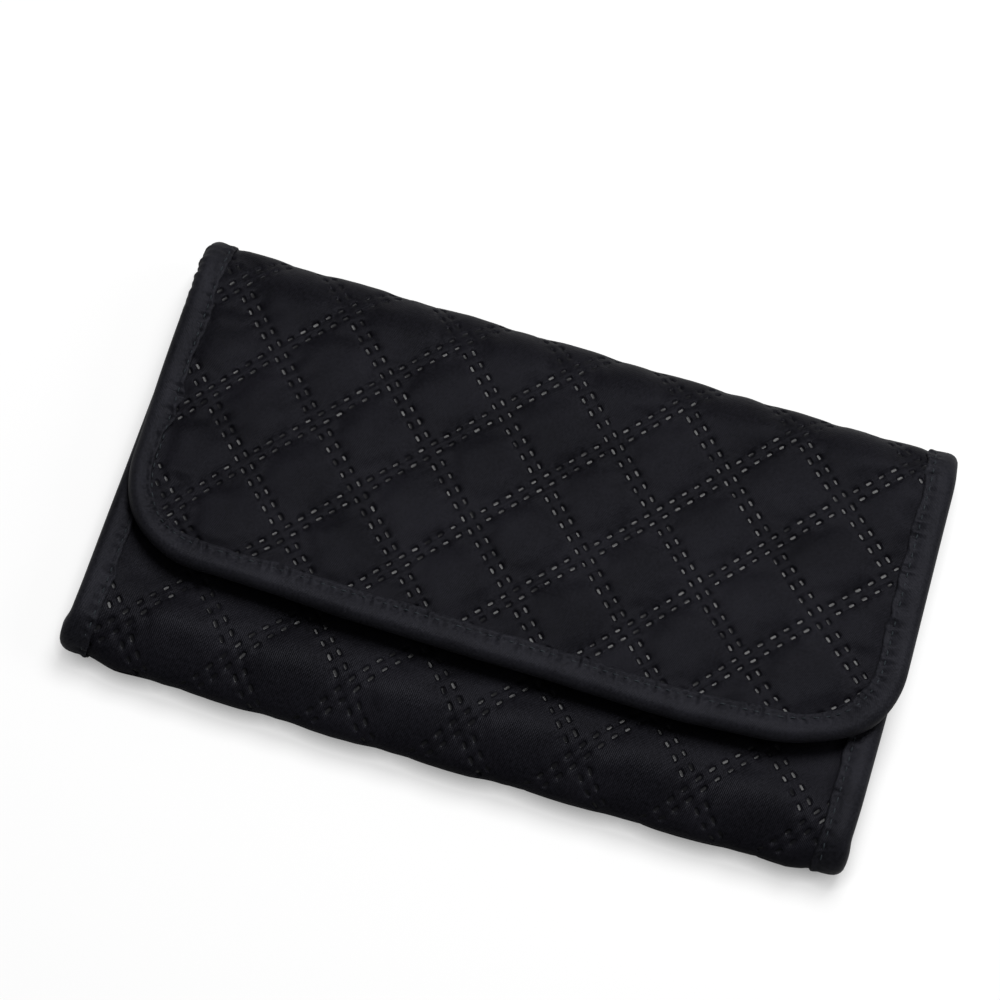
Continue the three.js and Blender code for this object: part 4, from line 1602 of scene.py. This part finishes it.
@dataclass
class ZipPocket:
    """A clear zipped pocket: film, sewn border, zip tapes, coil, slider and pull."""

    name: str
    seat: PocketSeat
    left: float
    right: float
    film_deep: float
    head_x: float
    turned: bool
    slider_body: Body
    pull_body: Body
    border: float = 4.0
    tape_near: float = 2.1
    tape_far: float = 11.6
    coil_pitch: float = 1.3
    thread: float = 0.27
    film_level: float = 4.3
    film_thick: float = 0.3

    # One turn of the coil, as (distance from the zip's middle, level).
    COIL_TURN = (
        (1.75, 4.75), (1.8, 5.35), (1.2, 5.75), (0.3, 5.82),
        (-0.45, 5.5), (-0.5, 5.0), (0.4, 4.72), (1.75, 4.75),
    )

    def window(self) -> None:
        """The clear film, sewn flat at its edges and slack between them."""
        low, high = -self.film_deep, -3.8
        xs = np.linspace(self.left, self.right, max(24, round((self.right - self.left) / 3)))
        ys = np.linspace(low, high, max(12, round((high - low) / 3)))
        y, x = (g.ravel() for g in np.meshgrid(ys, xs, indexing="ij"))
        in_x, in_y = np.minimum(x - self.left, self.right - x), np.minimum(y - low, high - y)
        loose = smoothstep(0, 12, np.minimum(in_x, in_y))
        level = self.film_level + loose * (0.1 + 0.32 * crumple(x, y, 17.0, self.left))
        points = np.vstack([self.seat.place(x, y, level), self.seat.place(x, y, level + self.film_thick)])
        number = np.arange(len(x)).reshape(len(ys), len(xs))
        quads = np.stack([number[:-1, :-1], number[:-1, 1:], number[1:, 1:], number[1:, :-1]], -1)
        quads = [tuple(quad) for quad in quads.reshape(-1, 4).tolist()]
        rim = [*number[0], *number[1:, -1], *number[-1, -2::-1], *number[-2:0:-1, 0]]
        faces = shell_faces(quads, quads, [int(i) for i in rim], len(x))
        made = mesh_object(f"{self.name}_film", points, faces)
        lay_uv(made, np.tile(x, 2) + 120, np.tile(y, 2) + 100)
        smooth(made)
        face_out(made)
        WARDROBE.dress(made, CLEAR_FILM)
        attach(made, self.seat.body.value)
        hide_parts(f"{self.name}_window")

    @property
    def lining(self) -> str:
        """The stretch of lining that most of the pocket lies on."""
        return "front" if self.seat.under_front else "back_near"

    @property
    def sewn_ends(self) -> tuple[float, float]:
        """Where the tapes and the coil start and end across the roll, inside the border."""
        return self.left + self.border + 0.3, self.right - self.border - 0.3

    def border_run(self) -> Array:
        """The sewn border's outer edge: two sides and the film's end, mitred at its corners."""
        low, keep = -self.film_deep, self.border + 1
        side = np.linspace(self.tape_far, low, 24)[:-1]
        end = np.linspace(self.left, self.right, 24)[1:-1]
        near = edge_run(self.left, side[side > low + keep], 1.0, 0.0)
        far = edge_run(self.right, side[side > low + keep][::-1], -1.0, 0.0)
        base = edge_run(end[(end > self.left + keep) & (end < self.right - keep)], low, 0.0, 1.0)
        corners = np.array([[self.left, low, 1.0, 1.0], [self.right, low, -1.0, 1.0]])
        return np.vstack([near, corners[:1], base, corners[1:], far])

    def strip(
        self, part: str, node: str, run: Array, shape: tuple[Array, Array], finish: Finish, row: StitchRow
    ) -> list[Piece]:
        """Makes one sewn strip of the pocket.

        Args:
            part: Its name within the pocket.
            node: The part of the CAD pocket that it stands for.
            run: Rows of x, y and the sideways direction.
            shape: Its profile's sideways distances, and their levels for each row of the run.
            finish: Its finish.
            row: Its stitches.

        Returns:
            The strip and its stitches.
        """
        wide, levels = shape
        rings = np.broadcast_arrays(wide, levels + np.zeros((len(run), 1)))
        made = swept(f"{self.name}_{part}", run, rings, self.seat.place)
        WARDROBE.dress(made, finish)
        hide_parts(f"{self.name}_{node}")
        return [made, row.build(f"{self.name}_{part}_stitches", run, self.seat.place)]

    def sewn_border(self) -> list[Piece]:
        """The cloth border over the film's edges, and its stitches."""
        wide = np.array([0.0, 0.0, 0.25, 0.8, 2.0, 3.2, 3.8, 4.0, 4.0])
        levels = np.array([4.7, 5.15, 5.4, 5.5, 5.4, 5.52, 5.4, 5.1, 4.75])
        row = StitchRow(inward=2.2, level=5.42, rise=-0.1)
        return self.strip("border", "trim", self.border_run(), (wide, levels), BINDING, row)

    def tape(self, name: str, toward: int) -> list[Piece]:
        """One zip tape with its raised cord edge, and the stitches that hold it."""
        across = np.linspace(*self.sewn_ends, max(20, round((self.right - self.left) / 4)))
        run = edge_run(across, 0.0, 0.0, toward)
        a, b = self.tape_near, self.tape_far
        wide = np.array([a, a, a + 0.3, a + 0.9, a + 1.3, b - 2.5, b - 0.2, b, b])
        levels = np.array([4.95, 5.35, 5.6, 5.6, 5.42, 5.42, 5.4, 5.2, 4.95])
        wavy = levels + 0.1 * ripples(across, 14.0, 3.0 * toward, 2.0)
        row = StitchRow(inward=b - 1.6, level=5.44, rise=-0.1)
        return self.strip(name, f"zip_{name}", run, (wide, wavy), ZIP_TAPE, row)

    def coil(self) -> Piece:
        """The closed coil: one small loop for each turn, from both sides in turn."""
        start, stop = self.sewn_ends
        if self.turned:
            stop = self.head_x + 1.4
        else:
            start = self.head_x - 1.4
        path = np.array(self.COIL_TURN)
        ahead = np.gradient(path, axis=0)
        ahead /= np.linalg.norm(ahead, axis=1)[:, None]
        out = np.column_stack([-ahead[:, 1], ahead[:, 0]])
        turns = np.linspace(0, 2 * math.pi, 5, endpoint=False)
        ring = self.thread
        x0 = ring * np.cos(turns)[None, :] + np.zeros((len(path), 1))
        side = path[:, 0:1] + out[:, 0:1] * ring * np.sin(turns)
        up = path[:, 1:2] + out[:, 1:2] * ring * np.sin(turns)
        one = tube_faces(8, 5) + [tuple(range(5)), tuple(range(39, 34, -1))]
        places = np.arange(start + 0.6, stop - 0.4, self.coil_pitch / 2)
        hands = np.where(np.arange(len(places)) % 2, 1, -1)
        xs = (x0 + places[:, None, None]).ravel()
        ys = (side * hands[:, None, None]).ravel()
        ws = np.clip(np.tile(up.ravel(), len(places)), 4.5, 5.95)
        made = mesh_object(f"{self.name}_coil", self.seat.place(xs, ys, ws), repeated(one, 40, len(places)))
        smooth(made)
        face_out(made)
        WARDROBE.dress(made, COIL_NYLON)
        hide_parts(f"{self.name}_zip_chain")
        return made

    def build(self) -> None:
        """Makes the pocket and hides the CAD nodes that it stands for."""
        self.window()
        sewn = [*self.sewn_border(), *self.tape("film_tape", -1), *self.tape("cloth_tape", 1), self.coil()]
        for piece in sewn:
            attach(piece, self.seat.body.value)
        head = ZipHead()
        slider = head.slider(f"{self.name}_slider")
        pull = head.pull(f"{self.name}_pull")
        for piece, body in ((slider, self.slider_body), (pull, self.pull_body)):
            piece.data.transform(self.seat.matrix(self.head_x, self.turned))
            WARDROBE.dress(piece, NICKEL)
            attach(piece, body.value)
        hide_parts(f"{self.name}_zip_slider")
        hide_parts(f"{self.name}_zip_pull")
        log.info("%s: film, border, tapes, coil, slider and pull", self.name)


def pockets() -> list[ZipPocket]:
    """The roll's three zipped pockets."""
    back = PocketSeat(Body.BACK, -4.0, False)
    front = PocketSeat(Body.FRONT, -38.0, True)
    edge, middle, head, deep = 105.7, 3.0, 90.9, 82.7
    back_bodies = (Body.BACK_SLIDER, Body.BACK_PULL)
    left_bodies = (Body.FRONT_LEFT_SLIDER, Body.FRONT_LEFT_PULL)
    right_bodies = (Body.FRONT_RIGHT_SLIDER, Body.FRONT_RIGHT_PULL)
    return [
        ZipPocket("back_pocket", back, -edge, edge, 50.0, -head, False, *back_bodies),
        ZipPocket("front_left_pocket", front, -edge, -middle, deep, -head, False, *left_bodies),
        ZipPocket("front_right_pocket", front, middle, edge, deep, head, True, *right_bodies),
    ]


@dataclass
class RingBar:
    """The stuffed velvet bar for rings, its two straps and what they fasten to."""

    axis_y: float = 44.0
    half_long: float = 75.0
    wide: float = 16.0
    low: float = 3.7
    high: float = 11.4
    strap_end: float = 92.3
    strap_half: float = 7.0
    strap_levels: tuple[float, float] = (5.7, 6.3)
    patch: float = 12.0

    def bar(self) -> None:
        """The bar: a cylinder drawn in and gathered at both ends, flatter where it lies."""
        deselect()
        bpy.ops.mesh.primitive_cylinder_add(
            vertices=48, radius=1.0, depth=2.0, end_fill_type="NOTHING", rotation=(0, math.pi / 2, 0)
        )
        made = settled("ring_bar_velvet")
        open_for_edit(made)
        cut_across(np.cos(np.linspace(0, math.pi, 62))[1:-1])
        bpy.ops.mesh.select_all(action="DESELECT")
        bpy.ops.mesh.select_mode(type="EDGE")
        bpy.ops.mesh.select_non_manifold()
        bpy.ops.mesh.fill()
        deselect()
        co = np.array([v.co for v in made.data.vertices])
        along, turn = co[:, 0], np.arctan2(co[:, 2], co[:, 1])
        end = np.clip((np.abs(along) - 0.9) / 0.1, 0.0, 1.0)
        round_end = np.sqrt(np.clip(1 - end**2, 0.02, 1))
        gather = 1 - 0.07 * end * (0.5 + 0.5 * np.cos(11 * turn))
        around = [Vector((a * 7, math.cos(b) * 1.6, math.sin(b) * 1.6)) for a, b in zip(along, turn)]
        crease = 0.035 * np.array([noise.noise(place) for place in around])
        seam = 1 - 0.05 * bump(np.degrees(turn), -90, 7)
        radius = round_end * gather * seam * (0.96 + crease)
        x = along * self.half_long
        y = self.axis_y + np.sign(np.cos(turn)) * np.abs(np.cos(turn)) ** 0.9 * radius * self.wide / 2
        half = (self.high - self.low) / 2
        z = self.low + half + np.sin(turn) * radius * half
        move_points(made, np.column_stack([x, y, np.maximum(z, self.low)]))
        apply_modifier(made, "SUBSURF", levels=1, render_levels=1)
        smooth(made)
        face_out(made)
        WARDROBE.dress(made, VELVET)
        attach(made, Body.RING_BAR.value)
        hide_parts("ring_bar")

    def strap(self, name: str, near: float, far: float, node: str) -> None:
        """A flat strap with a rounded end and a box of stitches."""
        (low, high), (under, over) = sorted((near, far)), self.strap_levels
        half = self.strap_half
        made = block(name, (low, self.axis_y - half, under), (high, self.axis_y + half, over))
        round_upright(made, 4.0, 6, lambda a, b: abs(a.x - far * MM) < TINY)
        deselect()
        soften(made, 0.2, 2)
        self.finish_flat(made)
        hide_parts(node)
        side = math.copysign(1.0, far - near)
        start, end, wide = near + side * 4, far - side * 1.6, 5.4
        corners = [(start, -wide), (end, -wide), (end, wide), (start, wide), (start, -wide)]
        run = np.array([(x, self.axis_y + y, 0.0, 0.0) for x, y in corners])
        steps = np.linspace(0, 1, 8, endpoint=False)[:, None]
        dense = np.vstack([a + (b - a) * steps for a, b in zip(run, run[1:])])
        dense[:, 2:] = (0.0, 1.0)
        row = StitchRow(inward=0.0, level=over + 0.02, long=1.6, gap=0.7, girth=0.16, rise=-0.06)
        stitches = row.build(f"{name}_stitches", dense, lambda x, y, w: np.column_stack([x, y, w]) * MM)
        for piece in (made, stitches):
            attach(piece, Body.RING_BAR.value)

    @staticmethod
    def finish_flat(piece: Piece) -> None:
        """Dresses a flat piece of binding, with its UV map from its own x and y."""
        finish_shading(piece)
        for layer in list(piece.data.uv_layers):
            piece.data.uv_layers.remove(layer)
        x, y, _ = points_of(piece).T
        lay_uv(piece, x + 200, y + 200)
        WARDROBE.dress(piece, BINDING)

    def anchor(self) -> None:
        """The patch that holds the bar's fixed strap on the back."""
        x, y, side = -self.strap_end, self.axis_y - self.patch / 2, self.patch
        made = block("ring_bar_anchor", (x, y, 3.7), (x + side, y + side, 5.4))
        soften(made, 0.5, 3)
        self.finish_flat(made)
        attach(made, Body.BACK.value)
        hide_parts("ring_bar_anchor_patch")

    def build(self) -> None:
        """Makes the bar, its straps and its fastening."""
        self.bar()
        self.strap("ring_bar_fixed_strap", -self.half_long - 0.3, -self.strap_end, "ring_bar_tongue")
        self.strap("ring_bar_free_strap", self.half_long + 0.3, self.strap_end, "ring_bar_tab")
        self.anchor()
        half = self.patch / 2
        place = ((self.strap_end - self.patch, self.strap_end), (self.axis_y - half, self.axis_y + half))
        loops = GripField("ring_bar_loop_field", *place, 3.7, 4.4, False)
        hooks = GripField("ring_bar_hook_field", *place, 5.4, 4.7, True)
        loops.build(Body.BACK, "ring_bar_loop_pad")
        hooks.build(Body.RING_BAR, "ring_bar_hook_pad")
        log.info("ring bar: bar, straps and fastening")


@dataclass
class GripField:
    """One half of a hook-and-loop fastening: a woven base with its hooks or its looped pile."""

    name: str
    x: tuple[float, float]
    y: tuple[float, float]
    base: float
    tip: float
    hooked: bool
    corner: float = 1.5

    # A hook's middle line, as (distance along y, share of its height).
    HOOK = ((0.0, 0.42), (0.0, 0.75), (0.16, 0.95), (0.34, 0.95), (0.42, 0.78))
    sewn_at: Callable[[Array], Array] | None = None

    def settle(self, piece: Piece) -> None:
        """Moves a part with the soft panel that it is sewn to."""
        if self.sewn_at is None:
            return
        points = points_of(piece)
        s = self.sewn_at(points[:, 1])
        points[:, 1] += ROLL.droop(points[:, 0], s)
        points[:, 2] += ROLL.sag(points[:, 0], s)
        move_points(piece, points)

    def plate(self) -> Piece:
        """The woven base, with rounded corners."""
        share = 0.5 if self.hooked else 0.75
        low, high = sorted((self.base, self.base + (self.tip - self.base) * share))
        made = block(self.name, (self.x[0], self.y[0], low), (self.x[1], self.y[1], high))
        round_upright(made, self.corner, 4, lambda a, b: True)
        cut_across(np.linspace(*self.x, 14)[1:-1] * MM)
        deselect()
        soften(made, 0.1, 2)
        finish_shading(made)
        return made

    def hooks(self) -> Piece:
        """Rows of small bent hooks."""
        rise, pitch = self.tip - self.base, 1.5
        turns = np.linspace(0, 2 * math.pi, 4, endpoint=False)
        one = tube_faces(5, 4) + [tuple(range(4)), tuple(range(19, 15, -1))]
        points = []
        for n, x in enumerate(np.arange(self.x[0] + 1.6, self.x[1] - 1.2, pitch)):
            for y in np.arange(self.y[0] + 1.4 + 0.75 * (n % 2), self.y[1] - 1.0, pitch):
                hand = 1 if n % 2 else -1
                for along, up in self.HOOK:
                    for turn in turns:
                        px = x + 0.11 * math.cos(turn)
                        py = y + hand * along + 0.11 * math.sin(turn)
                        points.append((px, py, self.base + rise * up))
        faces = repeated(one, 20, len(points) // 20)
        made = mesh_object(f"{self.name}_hooks", np.array(points) * MM, faces)
        smooth(made)
        face_out(made)
        return made

    def pile(self) -> Piece:
        """The looped pile: a fine grid drawn up into uneven tufts."""
        deselect()
        wide, deep = self.x[1] - self.x[0] - 2.4, self.y[1] - self.y[0] - 2.4
        columns, rows = (max(8, round(v / 0.7)) for v in (wide, deep))
        middle = ((self.x[0] + self.x[1]) / 2 * MM, (self.y[0] + self.y[1]) / 2 * MM, 0.0)
        counts = {"x_subdivisions": columns, "y_subdivisions": rows}
        bpy.ops.mesh.primitive_grid_add(**counts, size=1.0, location=middle)
        bpy.context.object.scale = (wide * MM, deep * MM, 1.0)
        made = settled(f"{self.name}_pile")
        level = self.base + (self.tip - self.base) * 0.7
        for vertex in made.data.vertices:
            tuft = 0.5 + 0.5 * noise.noise(vertex.co * 900.0)
            vertex.co.z = (level + (self.tip - level) * tuft) * MM
        apply_modifier(made, "SOLIDIFY", thickness=0.08 * MM, offset=-1.0)
        smooth(made)
        return made

    def build(self, body: Body, node: str) -> None:
        """Makes the field and hides the CAD pad that it stands for."""
        plate = self.plate()
        top = self.hooks() if self.hooked else self.pile()
        for piece in (plate, top):
            WARDROBE.dress(piece, HOOK_NYLON if self.hooked else LOOP_PILE)
            self.settle(piece)
            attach(piece, body.value)
        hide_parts(node)


@dataclass
class FlapClosure:
    """The hook strip inside the flap and the loop strip on the front panel."""

    half_wide: float = 45.0
    y: tuple[float, float] = (-24.0, -4.0)

    def build(self) -> None:
        """Makes both strips."""
        span = (-self.half_wide, self.half_wide)
        loops = GripField("front_loop_field", span, self.y, 17.6, 18.3, False, sewn_at=ROLL.front_s)
        hooks = GripField("flap_hook_field", span, self.y, 19.3, 18.6, True, sewn_at=ROLL.flap_s)
        loops.build(Body.FRONT, "front_loop_strip")
        hooks.build(Body.FLAP, "flap_hook_strip")
        log.info("closure: loop strip and hook strip")


@dataclass
class Studio:
    """The pale floor, the soft lamps and the camera at the photograph's angle."""

    azimuth: float = 12.7
    elevation: float = 67.0
    roll: float = 4.5
    distance: float = 1029.0
    target: tuple[float, float, float] = (-9.6, 18.2, 0.0)
    lens: float = 126.0
    key_power: float = 14.0
    side_power: float = 3.0
    floor_glow: float = 0.68
    surroundings: float = 0.1

    def camera(self) -> None:
        """Makes the camera and the scene's colour handling."""
        a, e, r = (math.radians(v) for v in (self.azimuth, self.elevation, self.roll))
        back = Vector((math.sin(a) * math.cos(e), -math.cos(a) * math.cos(e), math.sin(e)))
        right = Vector((math.cos(a), math.sin(a), 0.0))
        up = back.cross(right)
        across = right * math.cos(r) + up * math.sin(r)
        rise = up * math.cos(r) - right * math.sin(r)
        data = bpy.data.cameras.new("camera")
        data.lens, data.sensor_width = self.lens, 36.0
        data.clip_start, data.clip_end = 0.05, 20.0
        made = bpy.data.objects.new("camera", data)
        turned = Matrix((across, rise, back)).transposed().to_4x4()
        made.matrix_world = Matrix.Translation((Vector(self.target) + back * self.distance) * MM) @ turned
        bpy.context.collection.objects.link(made)
        bpy.context.scene.camera = made
        bpy.context.scene.view_settings.view_transform = "Standard"

    def floor(self) -> None:
        """Makes the floor, whose white shows only to the camera, straight or through clear film.

        Ambient occlusion darkens the white glow close to the roll, where little light would reach: a painted
        contact shadow.
        """
        deselect()
        bpy.ops.mesh.primitive_plane_add(size=8.0, location=(0, 0, 0))
        made = bpy.context.object
        made.name = "floor"
        graph = NodeGraph(bpy.data.materials.new("pale_floor"))
        direct = graph.add("LightPath", "Is Camera Ray", {})
        through = graph.add("LightPath", "Is Transmission Ray", {})
        # Painted contact shadow: the floor's white glow is multiplied by ambient occlusion within 6 mm of the
        # roll.
        hollow = graph.add("AmbientOcclusion", "Color", {"Distance": 6 * MM}, samples=8)
        greys = {"Factor": direct, "A": (0.7, 0.7, 0.7, 1), "B": (0.5, 0.5, 0.5, 1)}
        grey = graph.add("Mix", "Result", greys, data_type="RGBA")
        graph.fill(graph.shader, {"Base Color": grey, "Roughness": 0.9, "Specular IOR Level": 0.0})
        seen = graph.add("Math", "Value", {0: direct, 1: through}, operation="MAXIMUM")
        share = graph.add("Mix", "Result", {"Factor": seen, "A": (0, 0, 0, 1), "B": hollow}, data_type="RGBA")
        glow = graph.add("Emission", "Emission", {"Strength": self.floor_glow, "Color": share})
        both = graph.add("AddShader", "Shader", {0: graph.shader.outputs["BSDF"], 1: glow})
        graph.fill(graph.tree.nodes["Material Output"], {"Surface": both})
        made.data.materials.append(graph.owner)

    def lamp(self, name: str, toward: Point, away: float, size: float, power: float) -> None:
        """Adds one soft lamp that faces the roll.

        Args:
            name: The lamp's name.
            toward: Direction from the roll to the lamp.
            away: Distance in metres.
            size: Side of the square lamp in metres.
            power: Power in watts.
        """
        data = bpy.data.lights.new(name, "AREA")
        data.shape, data.size, data.energy = "SQUARE", size, power
        made = bpy.data.objects.new(name, data)
        direction = Vector(toward).normalized()
        made.location = direction * away
        made.rotation_mode = "QUATERNION"
        made.rotation_quaternion = direction.to_track_quat("Z", "Y")
        bpy.context.collection.objects.link(made)

    def world(self) -> None:
        """Makes the even white surroundings."""
        graph = NodeGraph(bpy.data.worlds.new("surroundings"), "Background")
        bpy.context.scene.world = graph.owner
        seen = graph.add("LightPath", "Is Camera Ray", {})
        strength = graph.spread(seen, self.surroundings, 1.0)
        graph.fill(graph.shader, {"Color": (1, 1, 1, 1), "Strength": strength})

    def build(self) -> None:
        """Makes the whole studio."""
        self.camera()
        self.floor()
        self.world()
        self.lamp("key", (0.11, 0.5, 1.0), 1.5, 0.7, self.key_power)
        self.lamp("side", (0.9, 0.25, 0.65), 1.6, 0.8, self.side_power)
        log.info("studio: camera, floor and lamps")


def main() -> None:
    """Builds the roll's pieces in order."""
    logging.basicConfig(level=logging.INFO, format="%(name)s %(message)s")
    Studio().build()
    for stretch in stretches():
        QuiltedCloth(stretch).build()
        Binding(stretch).build()
        LiningCloth(stretch).build()
    for pocket in pockets():
        pocket.build()
    RingBar().build()
    FlapClosure().build()


if __name__ == "__main__":
    main()
